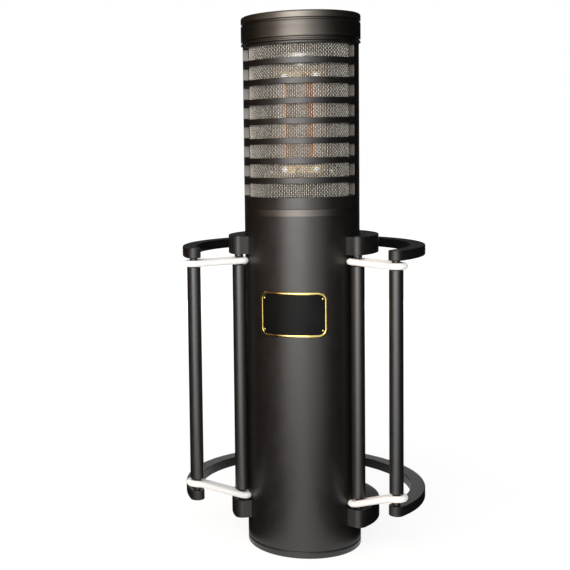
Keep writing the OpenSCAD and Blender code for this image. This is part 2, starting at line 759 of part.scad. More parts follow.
// Collars that clamp the body and carry the inner rods
module collar(z, head_up) {
    nose_angle = -inner_rod_angle;
    difference() {
        translate([0, 0, z]) union() {
            translate([0, collar_shift, 0]) rotate([0, 0, collar_a])
                rotate_extrude(angle = 180 - 2 * collar_a) square([collar_r, collar_h]);
            both_sides() rotate([0, 0, nose_angle]) {
                translate([inner_rod_r, 0, 0]) cylinder(r = collar_nose_r, h = collar_h);
                translate([body_r - wall, blend - collar_nose_r, 0])
                    cube([inner_rod_r - body_r + wall, collar_nose_r, collar_h]);
            }
        }
        translate([0, 0, z - cut]) cylinder(r = body_r + slip, h = collar_h + 2 * cut);
        both_sides() translate([inner_rod.x, inner_rod.y, z]) sunk_hole(m2, collar_h, head_up);
        for (a = collar_screw_angles) rotate([0, 0, a]) translate([0, 0, z + collar_h / 2])
            rotate([0, 90, 0]) cylinder(r = m3[0] + tap, h = body_r + collar_back_t + cut);
    }
}

collar_screw_angles = [50, 90, 130];

module upper_collar() color(black) collar(upper_collar_z, true);
module lower_collar() color(black) collar(lower_collar_z, false);

module collar_screws()
    color(steel) for (z = [upper_collar_z, lower_collar_z], a = collar_screw_angles)
        rotate([0, 0, a]) translate([body_r + 2 * slip, 0, z + collar_h / 2])
            rotate([0, 90, 0]) cylinder(r = m3[0], h = collar_back_t - 4);

// A rod with a neck at each end that reaches its ring or collar, and a tapped hole in each end
module rod(place, neck_r, size, z0, z1, foot_z, head_z)
    translate([place.x, place.y, 0]) difference() {
        union() {
            translate([0, 0, z0]) cylinder(r = rod_d / 2, h = z1 - z0);
            translate([0, 0, foot_z]) cylinder(r = neck_r, h = head_z - foot_z);
        }
        translate([0, 0, head_z]) tapped(size, thread_in);
        translate([0, 0, foot_z]) rotate([180, 0, 0]) tapped(size, thread_in);
    }

module inner_rod_right() {
    shoulder_h = 1.4;
    rod(inner_rod, inner_neck_r, m2, inner_rod_z0, rod_top_z, lower_collar_top, upper_collar_z);
    translate([inner_rod.x, inner_rod.y, upper_collar_z - shoulder_h])
        tube(inner_neck_r + 0.7, m2[0] + tap, shoulder_h);
}

module left_inner_rod() color(black) mirror([1, 0, 0]) inner_rod_right();
module right_inner_rod() color(black) inner_rod_right();

module outer_rods()
    color(black) both_sides()
        rod(outer_rod, outer_neck_r, m25, outer_rod_z0, rod_top_z, lower_ring_top, upper_ring_z);

// Sunk screws that hold a pair of rods between two pieces of thickness t, from the faces at low_z and high_z
module rod_end_screws(place, size, low_z, high_z, t) {
    sink = size[2] + flush;
    length = t - sink + thread_in - 0.5;
    both_sides() translate([place.x, place.y, 0]) {
        translate([0, 0, high_z - sink]) screw(size, length);
        translate([0, 0, low_z + sink]) rotate([180, 0, 0]) screw(size, length);
    }
}

module rod_screws()
    color(steel) rod_end_screws(inner_rod, m2, lower_collar_z, upper_collar_top, collar_h);

// How far the body's surface and its clearance lie from an inner rod's axis, at an angle to the straight way
function reach(a) =
    let (along = inner_rod_r * cos(a), limit = body_r + apart, inside = along * along + limit * limit
         - inner_rod_r * inner_rod_r)
    inside > 0 && along > 0 ? along - sqrt(inside) : inner_rod_r;

// Elastic loops: one end round an inner neck, squeezed where it passes the body, one round an outer neck
module elastic(z_in, z_out) {
    span = outer_rod - inner_rod;
    turn = atan2(span.y, span.x);
    steps = 12;
    loop_r = outer_neck_r + apart + 2 * elastic_r;
    inner_bend = [for (i = [0:steps])
        let (a = turn + 90 + 180 * i / steps, outside = min(loop_r, reach(a - 180 + inner_rod_angle)))
        [outside, min(elastic_r, (outside - inner_neck_r) / 2), a]];
    inner_points = [for (b = inner_bend)
        [inner_rod.x + (b[0] - b[1]) * cos(b[2]), inner_rod.y + (b[0] - b[1]) * sin(b[2]), z_in]];
    outer_points = [for (i = [0:steps]) let (a = turn - 90 + 180 * i / steps, path_r = loop_r - elastic_r)
        [outer_rod.x + path_r * cos(a), outer_rod.y + path_r * sin(a), z_out]];
    radii = concat([for (b = inner_bend) b[1]], [for (p = outer_points) elastic_r]);
    cord(concat(inner_points, outer_points), radii, [0, 0, 1], closed = true, sides = 10);
}

upper_loop_in = (rod_top_z + upper_collar_z) / 2 - 0.6;
upper_loop_out = (rod_top_z + upper_ring_z) / 2 - 0.4;
lower_loop_in = (inner_rod_z0 + lower_collar_top) / 2;
lower_loop_out = outer_rod_z0 - elastic_r - apart;

module upper_right_elastic() color("white") elastic(upper_loop_in, upper_loop_out);
module upper_left_elastic() color("white") mirror([1, 0, 0]) elastic(upper_loop_in, upper_loop_out);
module lower_right_elastic() color("white") elastic(lower_loop_in, lower_loop_out);
module lower_left_elastic() color("white") mirror([1, 0, 0]) elastic(lower_loop_in, lower_loop_out);

// Open rings of the outer frame, with a half-round nose at each end
module ring(z, head_up) {
    half_w = ring_w / 2;
    difference() {
        translate([0, 0, z]) union() {
            rotate([0, 0, -outer_rod_angle]) rotate_extrude(angle = 180 + 2 * outer_rod_angle)
                translate([ring_r - half_w, 0]) square([ring_w, ring_h]);
            both_sides() rotate([0, 0, -outer_rod_angle]) translate([ring_r, 0, 0])
                rotate([0, 0, 180]) rotate_extrude(angle = 180) square([half_w, ring_h]);
        }
        both_sides() translate([outer_rod.x, outer_rod.y, z]) sunk_hole(m25, ring_h, head_up);
        both_sides() translate([spine_screw_x, ring_r, z]) sunk_hole(m25, ring_h, head_up);
    }
}

spine_screw_x = 3;

module upper_ring() color(black) ring(upper_ring_z, true);
module lower_ring() color(black) ring(lower_ring_z, false);

// Spine between the rings at the back, with the two ears of the stand mount
module spine_bar()
    color(black) difference() {
        union() {
            translate([-spine_w / 2, ring_r - spine_t / 2, lower_ring_top])
                cube([spine_w, spine_t, upper_ring_z - lower_ring_top]);
            translate([-ear_x - ear_t, spine_back_y - spine_t / 2, pivot_z - ear_r])
                cube([2 * (ear_x + ear_t), spine_t / 2 + 4, 2 * ear_r]);
            both_sides() translate([ear_x, 0, pivot_z]) {
                translate([0, spine_back_y, -ear_r]) cube([ear_t, pivot_y - spine_back_y, 2 * ear_r]);
                translate([0, pivot_y, 0]) rotate([0, 90, 0]) cylinder(r = ear_r - blend, h = ear_t);
            }
        }
        translate([-ear_x - ear_t - cut, pivot_y, pivot_z]) rotate([0, 90, 0])
            cylinder(r = bolt_d / 2 + run_fit, h = 2 * (ear_x + ear_t + cut));
        both_sides() {
            translate([spine_screw_x, ring_r, upper_ring_z]) tapped(m25, thread_in);
            translate([spine_screw_x, ring_r, lower_ring_top]) rotate([180, 0, 0]) tapped(m25, thread_in);
        }
    }

module frame_screws()
    color(steel) {
        rod_end_screws(outer_rod, m25, lower_ring_z, upper_ring_top, ring_h);
        rod_end_screws([spine_screw_x, ring_r], m25, lower_ring_z, upper_ring_top, ring_h);
    }

// Swivel arm between the ears, with a stem that the stand barrel turns on
module swivel_arm()
    color(black) {
        difference() {
            union() {
                translate([-arm_w / 2, pivot_y, pivot_z]) rotate([0, 90, 0])
                    cylinder(r = ear_r - 1, h = arm_w);
                translate([-arm_w / 2, pivot_y - stem_d / 2, arm_shoulder_z])
                    cube([arm_w, stem_d, pivot_z - arm_shoulder_z]);
            }
            translate([-arm_w / 2 - cut, pivot_y, pivot_z]) rotate([0, 90, 0])
                cylinder(r = bolt_d / 2 + run_fit, h = arm_w + 2 * cut);
        }
        translate([0, pivot_y, 0]) {
            translate([0, 0, barrel_top_z - barrel_sleeve_h + apart])
                cylinder(r = stem_d / 2, h = arm_shoulder_z - barrel_top_z + barrel_sleeve_h);
            translate([0, 0, barrel_top_z - barrel_sleeve_h - barrel_web_t - apart])
                cylinder(r = stem_neck_r, h = barrel_web_t + 2 * apart + cut);
            translate([0, 0, barrel_top_z - barrel_sleeve_h - barrel_web_t - barrel_screw_h])
                cylinder(r = stem_head_r, h = barrel_screw_h - apart / 3);
        }
    }

// Barrel with the stand thread in its lower end
module stand_barrel()
    color(steel) translate([0, pivot_y, 0]) difference() {
        translate([0, 0, barrel_z]) cylinder(r = barrel_r, h = barrel_top_z - barrel_z);
        translate([0, 0, barrel_z - cut]) cylinder(r = thread_d / 2, h = thread_len + cut);
        translate([0, 0, barrel_z]) cylinder(r = stem_head_r + apart, h = thread_len + barrel_screw_h);
        translate([0, 0, barrel_z]) cylinder(r = stem_neck_r + run_fit, h = barrel_top_z - barrel_z);
        translate([0, 0, barrel_top_z - barrel_sleeve_h])
            cylinder(r = stem_d / 2 + run_fit, h = barrel_sleeve_h + cut);
        for (i = [0:knurl_count - 1]) rotate([0, 0, 360 * i / knurl_count])
            translate([barrel_r + knurl_r / 2, 0, barrel_z - cut])
                cylinder(r = knurl_r, h = barrel_top_z - barrel_z + 2 * cut, $fn = 12);
    }

knurl_count = 20;
knurl_r = 1;

// Locking knob on the swivel bolt, with the bolt's plain end through both ears
module locking_knob() {
    knob_h = 13;
    knob_r = knob_d / 2;
    lobes = 6;
    knob_x = -ear_x - ear_t - apart;
    bolt_end = ear_x + ear_t + apart;
    color([0.08, 0.08, 0.08]) translate([0, pivot_y, pivot_z]) rotate([0, 90, 0]) {
        translate([0, 0, knob_x - knob_h]) difference() {
            cylinder(r = knob_r, h = knob_h);
            for (i = [0:lobes - 1]) rotate([0, 0, 360 * i / lobes])
                translate([knob_r + 1.5, 0, -cut]) cylinder(r = 4, h = knob_h + 2 * cut);
        }
        translate([0, 0, knob_x - cut]) cylinder(r = bolt_d / 2, h = bolt_end - knob_x + cut);
        translate([0, 0, bolt_end]) cylinder(r = bolt_d / 2 + 2, h = 2.5);
    }
}

base_plate();
base_screws();
inlet_shell();
inlet_insulator();
inlet_pins();
inlet_screws();
body_tube();
joint_ring();
grille_tube();
mesh_basket();
cap_ring();
cap_lid();
lid_screws();
motor_deck();
deck_screws();
motor_isolators();
motor_bolts();
motor_yoke();
left_magnet();
right_magnet();
left_pole();
right_pole();
ribbon();
clamp_blocks();
clamp_bars();
clamp_screws();
top_plate();
top_screw();
left_rail();
right_rail();
rail_screws();
circuit_board();
board_screws();
capacitors();
transistors();
transformer_shelf();
transformer_can();
transformer_bolt();
leads();
badge_plate();
badge_panel();
badge_rivets();
upper_collar();
lower_collar();
collar_screws();
left_inner_rod();
right_inner_rod();
rod_screws();
upper_left_elastic();
upper_right_elastic();
lower_left_elastic();
lower_right_elastic();
upper_ring();
lower_ring();
outer_rods();
spine_bar();
frame_screws();
swivel_arm();
stand_barrel();
locking_knob();
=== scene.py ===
import json
from math import cos, pi, radians, sin

import bmesh
import bpy
import numpy as np
from mathutils import Matrix, Vector


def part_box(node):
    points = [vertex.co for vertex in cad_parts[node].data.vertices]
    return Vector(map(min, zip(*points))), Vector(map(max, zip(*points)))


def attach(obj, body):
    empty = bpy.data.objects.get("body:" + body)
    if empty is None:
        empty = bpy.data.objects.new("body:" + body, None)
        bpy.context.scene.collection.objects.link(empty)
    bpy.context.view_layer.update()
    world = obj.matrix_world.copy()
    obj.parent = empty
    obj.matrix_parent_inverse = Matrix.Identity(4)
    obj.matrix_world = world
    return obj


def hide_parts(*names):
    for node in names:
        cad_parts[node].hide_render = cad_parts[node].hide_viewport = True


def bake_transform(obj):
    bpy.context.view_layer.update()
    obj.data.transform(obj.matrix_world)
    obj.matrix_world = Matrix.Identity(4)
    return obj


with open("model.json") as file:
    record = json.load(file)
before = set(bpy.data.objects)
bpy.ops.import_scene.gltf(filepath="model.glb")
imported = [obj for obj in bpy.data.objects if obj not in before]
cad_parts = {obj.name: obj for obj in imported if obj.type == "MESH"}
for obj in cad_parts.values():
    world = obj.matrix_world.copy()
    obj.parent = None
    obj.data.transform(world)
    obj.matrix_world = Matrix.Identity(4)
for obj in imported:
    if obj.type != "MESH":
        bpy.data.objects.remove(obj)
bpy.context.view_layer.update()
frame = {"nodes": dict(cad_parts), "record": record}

nodes = frame["nodes"]
record = frame["record"]
bodyOf = {node: body for body, names in record["behaviour"]["bodies"].items() for node in names}
slotOf = {part["node"]: part["material_slot"] for part in record["subparts"]}
mm = 0.001
print("frame loaded:", len(nodes), "nodes")

scene = bpy.context.scene
scene.view_settings.view_transform = "Standard"

# Camera: where it stands, and how far it turns left, tilts down and leans
cameraView = {
    "place": (0.0962, -0.5639, 0.2101),
    "turn": (-18.0, -4.53, -1.15),
    "lens": 67.76,
    "sensor": 36.0,
    "shift": (0.2446, -0.0838),
}


def makeCamera(values):
    data = bpy.data.cameras.new("camera")
    data.lens = values["lens"]
    data.sensor_width = values["sensor"]
    data.shift_x, data.shift_y = values["shift"]
    yaw, pitch, roll = (radians(angle) for angle in values["turn"])
    look = Vector((sin(yaw) * cos(pitch), cos(yaw) * cos(pitch), sin(pitch)))
    level = Vector((cos(yaw), -sin(yaw), 0))
    above = level.cross(look)
    right = cos(roll) * level + sin(roll) * above
    top = cos(roll) * above - sin(roll) * level
    camera = bpy.data.objects.new("camera", data)
    camera.matrix_world = Matrix.Translation(values["place"]) @ Matrix((right, top, -look)).transposed().to_4x4()
    scene.collection.objects.link(camera)
    scene.camera = camera


makeCamera(cameraView)
print("camera placed")


# Materials: a small kit of nodes
def link(tree, output, target):
    tree.links.new(output, target)


def addNode(tree, kind, **settings):
    node = tree.nodes.new(kind)
    for name, value in settings.items():
        if name in node.inputs:
            node.inputs[name].default_value = value
        else:
            setattr(node, name, value)
    return node


def calc(tree, operation, first, second=None):
    # One sum on two values, each a number or another node's output
    node = tree.nodes.new("ShaderNodeMath")
    node.operation = operation
    for i, value in enumerate((first, second)):
        if isinstance(value, (int, float)):
            node.inputs[i].default_value = value
        elif value is not None:
            link(tree, value, node.inputs[i])
    return node.outputs[0]


def startMaterial(name, values):
    material = bpy.data.materials.new(name)
    material.use_nodes = True
    tree = material.node_tree
    shader = tree.nodes["Principled BSDF"]
    shader.inputs["Metallic"].default_value = values.get("metallic", 0.0)
    shader.inputs["IOR"].default_value = values.get("ior", 1.5)
    shader.inputs["Specular IOR Level"].default_value = values.get("specular", 0.5)
    shader.inputs["Sheen Weight"].default_value = values.get("sheen", 0.0)
    return material, tree, shader


def noiseOn(tree, coordinates, stretch, scale, detail):
    # Noise on coordinates that are stretched first, so that its grain can run along one axis
    mapping = addNode(tree, "ShaderNodeMapping", Scale=stretch)
    link(tree, coordinates, mapping.inputs["Vector"])
    noise = addNode(tree, "ShaderNodeTexNoise", Scale=scale, Detail=detail)
    link(tree, mapping.outputs["Vector"], noise.inputs["Vector"])
    return noise.outputs["Fac"]


def spread(tree, value, low, high, fromLow=0.3, fromHigh=0.7):
    node = addNode(tree, "ShaderNodeMapRange", clamp=True)
    for name, number in (("From Min", fromLow), ("From Max", fromHigh), ("To Min", low), ("To Max", high)):
        node.inputs[name].default_value = number
    link(tree, value, node.inputs["Value"])
    return node.outputs["Result"]


def mixColours(tree, factor, first, second):
    # A Mix node keeps its colours in sockets 6 and 7, and gives the mixed colour from output 2
    node = addNode(tree, "ShaderNodeMix", data_type="RGBA")
    link(tree, factor, node.inputs["Factor"])
    for socket, colour in ((6, first), (7, second)):
        if isinstance(colour, tuple):
            node.inputs[socket].default_value = (*colour, 1.0)
        else:
            link(tree, colour, node.inputs[socket])
    return node.outputs[2]


def addBump(tree, shader, height, strength, distance):
    bump = addNode(tree, "ShaderNodeBump", Strength=strength, Distance=distance)
    link(tree, height, bump.inputs["Height"])
    link(tree, bump.outputs["Normal"], shader.inputs["Normal"])


# How much finer the roughness drifts than the colour does, how detailed each noise is, and the grain's depth
surfaceNoise = {"patch": 3.1, "mottleDetail": 4.0, "fineDetail": 2.0, "grainDepth": 0.05 * mm}


def surface(name, values):
    # Two colours mottled together, roughness that drifts between two values, and a fine grain in relief
    material, tree, shader = startMaterial(name, values)
    where = addNode(tree, "ShaderNodeTexCoord").outputs["Object"]
    stretch = values.get("stretch", (1, 1, 1))
    mottle = noiseOn(tree, where, stretch, values["mottle"], surfaceNoise["mottleDetail"])
    colour = mixColours(tree, spread(tree, mottle, 0, 1), values["colour"], values["tint"])
    link(tree, colour, shader.inputs["Base Color"])
    fine = surfaceNoise["fineDetail"]
    patch = noiseOn(tree, where, stretch, values["mottle"] * surfaceNoise["patch"], fine)
    link(tree, spread(tree, patch, *values["rough"]), shader.inputs["Roughness"])
    grain = noiseOn(tree, where, stretch, values["grain"], fine)
    addBump(tree, shader, grain, values["relief"], surfaceNoise["grainDepth"])
    return material


finishes = {
    "black_enamel": {
        "colour": (0.0046, 0.0038, 0.0033), "tint": (0.0068, 0.0056, 0.0049), "mottle": 60, "rough": (0.38, 0.44),
        "grain": 2600, "relief": 0.10, "ior": 1.63},
    "frame_black": {
        "colour": (0.0050, 0.0047, 0.0045), "tint": (0.0075, 0.0070, 0.0067), "mottle": 70, "rough": (0.42, 0.49),
        "grain": 2600, "relief": 0.10, "ior": 1.60},
    "joint_metal": {
        "colour": (0.120, 0.111, 0.102), "tint": (0.148, 0.138, 0.128), "mottle": 12, "stretch": (1, 1, 40),
        "rough": (0.40, 0.47), "grain": 90, "relief": 0.06, "metallic": 1.0},
    "screw_steel": {
        "colour": (0.50, 0.50, 0.51), "tint": (0.62, 0.62, 0.63), "mottle": 180, "rough": (0.24, 0.34),
        "grain": 1500, "relief": 0.12, "metallic": 1.0},
    "shell_nickel": {
        "colour": (0.60, 0.59, 0.56), "tint": (0.68, 0.67, 0.64), "mottle": 25, "stretch": (1, 1, 12),
        "rough": (0.22, 0.32), "grain": 160, "relief": 0.08, "metallic": 1.0},
    "insulator": {
        "colour": (0.030, 0.030, 0.031), "tint": (0.046, 0.046, 0.047), "mottle": 120, "rough": (0.5, 0.6),
        "grain": 2200, "relief": 0.25},
    "gold_plate": {
        "colour": (0.80, 0.60, 0.18), "tint": (0.88, 0.70, 0.27), "mottle": 140, "rough": (0.16, 0.26),
        "grain": 1800, "relief": 0.06, "metallic": 1.0},
    "panel_black": {
        "colour": (0.003, 0.003, 0.003), "tint": (0.005, 0.005, 0.005), "mottle": 90, "rough": (0.34, 0.40),
        "grain": 900, "relief": 0.04, "specular": 0.10},
    "woven_wire": {
        "colour": (0.95, 0.90, 0.79), "tint": (0.98, 0.95, 0.87), "mottle": 300, "rough": (0.24, 0.34),
        "grain": 4000, "relief": 0.10, "metallic": 0.7},
    "chassis_metal": {
        "colour": (0.62, 0.62, 0.60), "tint": (0.74, 0.74, 0.72), "mottle": 30, "stretch": (1, 1, 8),
        "rough": (0.3, 0.42), "grain": 400, "relief": 0.15, "metallic": 0.9},
    "soft_rubber": {
        "colour": (0.018, 0.018, 0.018), "tint": (0.030, 0.030, 0.030), "mottle": 200, "rough": (0.6, 0.75),
        "grain": 3000, "relief": 0.3},
    "yoke_copper": {
        "colour": (0.42, 0.185, 0.070), "tint": (0.54, 0.260, 0.110), "mottle": 60, "stretch": (1, 1, 6),
        "rough": (0.3, 0.42), "grain": 900, "relief": 0.12, "metallic": 0.9},
    "magnet_metal": {
        "colour": (0.16, 0.16, 0.17), "tint": (0.24, 0.24, 0.25), "mottle": 80, "rough": (0.35, 0.5),
        "grain": 1200, "relief": 0.12, "metallic": 1.0},
    # The foil is aluminium: its dark brown colour is painted shade from the poles and a painted reflection of the
    # copper
    "ribbon_foil": {
        "colour": (0.40, 0.31, 0.24), "tint": (0.48, 0.38, 0.30), "mottle": 500, "rough": (0.36, 0.48),
        "grain": 2500, "relief": 0.1, "metallic": 0.85},
    "clamp_resin": {
        "colour": (0.16, 0.10, 0.05), "tint": (0.26, 0.17, 0.09), "mottle": 90, "stretch": (1, 1, 9),
        "rough": (0.45, 0.6), "grain": 700, "relief": 0.2},
    "board_green": {
        "colour": (0.02, 0.14, 0.06), "tint": (0.04, 0.20, 0.09), "mottle": 220, "rough": (0.35, 0.5),
        "grain": 900, "relief": 0.2},
    "capacitor_sleeve": {
        "colour": (0.03, 0.05, 0.16), "tint": (0.05, 0.08, 0.22), "mottle": 90, "rough": (0.25, 0.35),
        "grain": 900, "relief": 0.1},
    "transistor_can": {
        "colour": (0.55, 0.55, 0.55), "tint": (0.66, 0.66, 0.66), "mottle": 120, "rough": (0.25, 0.35),
        "grain": 900, "relief": 0.1, "metallic": 1.0},
    "can_metal": {
        "colour": (0.38, 0.38, 0.39), "tint": (0.50, 0.50, 0.51), "mottle": 20, "stretch": (1, 1, 10),
        "rough": (0.3, 0.45), "grain": 200, "relief": 0.1, "metallic": 1.0},
    "lead_wire": {
        "colour": (0.035, 0.030, 0.028), "tint": (0.055, 0.046, 0.042), "mottle": 150, "rough": (0.35, 0.45),
        "grain": 1200, "relief": 0.15},
    "knob_plastic": {
        "colour": (0.012, 0.012, 0.012), "tint": (0.020, 0.020, 0.020), "mottle": 160, "rough": (0.42, 0.55),
        "grain": 2600, "relief": 0.35},
}
finish = {name: surface(name + "_finish", values) for name, values in finishes.items()}

# Pieces that differ from the finish of their slot: the cap is brighter than the tubes and its lid is a lighter copy,
# a painted highlight; the yoke is a darker copy of the copper, painted shade behind its poles; the rods shine more
# than the rings; and the basket's rings are a darker copy of its upright wires, painted shade
capFinish = {
    "colour": (0.085, 0.078, 0.070), "tint": (0.110, 0.100, 0.090), "mottle": 10, "stretch": (1, 1, 45),
    "rough": (0.40, 0.47), "grain": 90, "relief": 0.05, "metallic": 1.0}
variants = {
    "cap": capFinish,
    # The lid: a lighter copy of the cap's finish, a painted highlight for the stronger light at its height
    "lid": dict(capFinish, colour=(0.135, 0.122, 0.108), tint=(0.165, 0.150, 0.132)),
    # The yoke: a darker copy of the copper, painted shade behind the poles
    "yoke": dict(finishes["yoke_copper"], colour=(0.10, 0.075, 0.055), tint=(0.16, 0.115, 0.08)),
    "clamp": dict(finishes["gold_plate"], colour=(0.42, 0.30, 0.14), tint=(0.60, 0.46, 0.24), rough=(0.34, 0.46)),
    "rod": dict(finishes["frame_black"], rough=(0.36, 0.42), ior=1.80),
    # The basket's rings: a darker copy of the upright wires' finish, painted shade where they catch less light
    "shaded_ring_wire": dict(finishes["woven_wire"], colour=(0.36, 0.32, 0.26), tint=(0.46, 0.42, 0.35)),
    # A black sheet behind the motor: painted shade inside the basket
    "shade_gauze": {
        "colour": (0.010, 0.009, 0.008), "tint": (0.020, 0.018, 0.016), "mottle": 900, "rough": (0.6, 0.75),
        "grain": 4000, "relief": 0.3},
}
finish.update({name: surface(name + "_finish", values) for name, values in variants.items()})

# The braid's strands are counted along the loop and round the cord, and its hairs are a fine noise on top. Where they
# sink, the colour is darker: painted shade
elasticFinish = {
    "white": (0.93, 0.93, 0.92), "groove": (0.78, 0.78, 0.77), "along": 70, "round": 6, "shade": (0.1, 0.7),
    "hairs": 5000, "hairShare": 0.4, "relief": 0.35, "depth": 0.1 * mm, "sheen": 0.2, "rough": (0.7, 0.82)}


def elasticMaterial(name, values):
    # Two sets of strands that wind opposite ways: the product of two sine waves on the piece's own UV map
    material, tree, shader = startMaterial(name, values)
    onCord = addNode(tree, "ShaderNodeUVMap", uv_map="UVMap").outputs["UV"]
    split = addNode(tree, "ShaderNodeSeparateXYZ")
    link(tree, onCord, split.inputs[0])
    along = calc(tree, "MULTIPLY", split.outputs[0], 2 * pi * values["along"])
    turned = calc(tree, "MULTIPLY", split.outputs[1], 2 * pi * values["round"])
    strands = calc(tree, "MULTIPLY", calc(tree, "SINE", calc(tree, "ADD", along, turned)),
                   calc(tree, "SINE", calc(tree, "SUBTRACT", along, turned)))
    where = addNode(tree, "ShaderNodeTexCoord").outputs["Object"]
    hairs = noiseOn(tree, where, (1, 1, 1), values["hairs"], surfaceNoise["fineDetail"])
    height = calc(tree, "ADD", calc(tree, "ABSOLUTE", strands), calc(tree, "MULTIPLY", hairs, values["hairShare"]))
    # Painted shade: the colour falls from white to the shaded grey where strands and hairs sink
    colour = mixColours(tree, spread(tree, height, 0, 1, *values["shade"]), values["groove"], values["white"])
    link(tree, colour, shader.inputs["Base Color"])
    link(tree, spread(tree, hairs, *values["rough"]), shader.inputs["Roughness"])
    addBump(tree, shader, height, values["relief"], values["depth"])
    return material


finish["white_elastic"] = elasticMaterial("elastic_finish", elasticFinish)

# The ends of the grille's slots are milled after the paint, so they stay bare
bareMetal = {"colour": (0.115, 0.108, 0.102)}


def bareWhereMilled(material, values):
    # The piece's own attribute is 1 on milled faces and 0 on painted ones
    tree = material.node_tree
    shader = tree.nodes["Principled BSDF"]
    milled = addNode(tree, "ShaderNodeAttribute", attribute_name="milled").outputs["Fac"]
    painted = shader.inputs["Base Color"].links[0].from_socket
    link(tree, mixColours(tree, milled, painted, values["colour"]), shader.inputs["Base Color"])
    link(tree, milled, shader.inputs["Metallic"])
    return material


finish["grille"] = bareWhereMilled(surface("grille_finish", finishes["black_enamel"]), bareMetal)

finishOfNode = {
    "cap_ring": "cap", "cap_lid": "lid", "motor_yoke": "yoke", "clamp_bars": "clamp", "grille_tube": "grille",
    "left_inner_rod": "rod", "right_inner_rod": "rod", "outer_rods": "rod"}


def finishFor(node):
    return finish[finishOfNode.get(node, slotOf[node])]


for name, item in nodes.items():
    for holder in item.material_slots:
        holder.material = finishFor(name)
print("finishes made:", len(finish))


# Meshes: grids of points worked out as whole arrays
def gridQuads(rows, columns, wrapRows=False, wrapColumns=False):
    # The four corners of each cell: along the columns, then along the rows
    r, c = np.meshgrid(np.arange(rows if wrapRows else rows - 1),
                       np.arange(columns if wrapColumns else columns - 1), indexing="ij")
    rNext, cNext = (r + 1) % rows, (c + 1) % columns
    corners = [r * columns + c, r * columns + cNext, rNext * columns + cNext, rNext * columns + c]
    return np.stack(corners, -1).reshape(-1, 4)


def cappedQuads(rows):
    # The faces of a bar with a four-cornered section: its sides and its two ends
    ends = np.array([[3, 2, 1, 0], [0, 1, 2, 3]]) + np.array([[0], [4 * (rows - 1)]])
    return np.concatenate([gridQuads(rows, 4, wrapColumns=True), ends])


def gridUv(rows, columns):
    # The same corners as shares of a grid that closes both ways, from 0 to 1 with no step back at its seam
    r, c = np.meshgrid(np.arange(rows), np.arange(columns), indexing="ij")
    corners = [(r, c), (r, c + 1), (r + 1, c + 1), (r + 1, c)]
    return np.stack([np.stack([a / rows, b / columns], -1) for a, b in corners], -2).reshape(-1, 2)


mergeGap = 0.0001 * mm


def finishPiece(item, body, material, replaced):
    item.data.materials.clear()
    item.data.materials.append(material)
    if replaced:
        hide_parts(*replaced)
    if body:
        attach(item, body)
    return item


def makePiece(name, points, faces, body, slot, replaced=(), sharp=40, uv=None, material=None):
    mesh = bpy.data.meshes.new(name)
    mesh.from_pydata(points.reshape(-1, 3).tolist(), [], faces.tolist())
    if uv is not None:
        mesh.uv_layers.new(name="UVMap").data.foreach_set("uv", uv.ravel())
    else:
        shape = bmesh.new()
        shape.from_mesh(mesh)
        bmesh.ops.remove_doubles(shape, verts=shape.verts, dist=mergeGap)
        bmesh.ops.recalc_face_normals(shape, faces=shape.faces)
        shape.to_mesh(mesh)
        shape.free()
    mesh.polygons.foreach_set("use_smooth", [True] * len(mesh.polygons))
    mesh.set_sharp_from_angle(angle=radians(sharp))
    mesh.update()
    item = bpy.data.objects.new(name, mesh)
    scene.collection.objects.link(item)
    return finishPiece(item, body, material or finish[slot], replaced)


def revolve(profile, columns=48):
    # A profile of (radius, height, six-sided) rows turned round Z, where a six-sided row keeps a hexagon's edge
    angle = np.arange(columns) / columns * 2 * pi
    rows = np.array(profile, float)
    hexagon = 1 / np.cos((angle + pi / 6) % (pi / 3) - pi / 6)
    reach = rows[:, :1] * np.where(rows[:, 2:] > 0, hexagon, 1.0)
    x, y = reach * np.cos(angle), reach * np.sin(angle)
    z = np.broadcast_to(rows[:, 1:2], x.shape)
    return np.stack([x, y, z], -1), gridQuads(len(rows), columns, wrapColumns=True)


def placeAt(points, origin, axis):
    # Turns points from the Z axis to another axis and moves them to their origin
    turn = np.array(Vector((0, 0, 1)).rotation_difference(Vector(axis)).to_matrix())
    return points @ turn.T + np.array(origin)


def joinShapes(shapes):
    # Lists of points and faces as one list of each
    points, faces, start = [], [], 0
    for shapePoints, shapeFaces in shapes:
        points.append(shapePoints.reshape(-1, 3))
        faces.append(shapeFaces + start)
        start += len(points[-1])
    return np.concatenate(points), np.concatenate(faces)


# Turned and milled pieces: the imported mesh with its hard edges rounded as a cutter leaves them
edgeWidths = {
    "base_plate": 0.25, "joint_ring": 0.15, "cap_ring": 0.12, "cap_lid": 0.12,
    "upper_collar": 0.4, "lower_collar": 0.4, "left_inner_rod": 0.45, "right_inner_rod": 0.45, "outer_rods": 0.45,
    "upper_ring": 0.4, "lower_ring": 0.4, "spine_bar": 0.4, "swivel_arm": 0.4, "stand_barrel": 0.2,
    "locking_knob": 0.6,
}


# An edge that turns by more than this angle is rounded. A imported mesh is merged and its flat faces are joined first
edgeRounding = {"turn": 35, "segments": 2, "merge": 0.003 * mm, "flat": 0.3}


def roundEdges(item, width, clamp=True):
    bevel = item.modifiers.new("edges", "BEVEL")
    bevel.width = width * mm
    bevel.segments = edgeRounding["segments"]
    bevel.limit_method = "ANGLE"
    bevel.angle_limit = radians(edgeRounding["turn"])
    bevel.use_clamp_overlap = clamp
    bevel.harden_normals = True


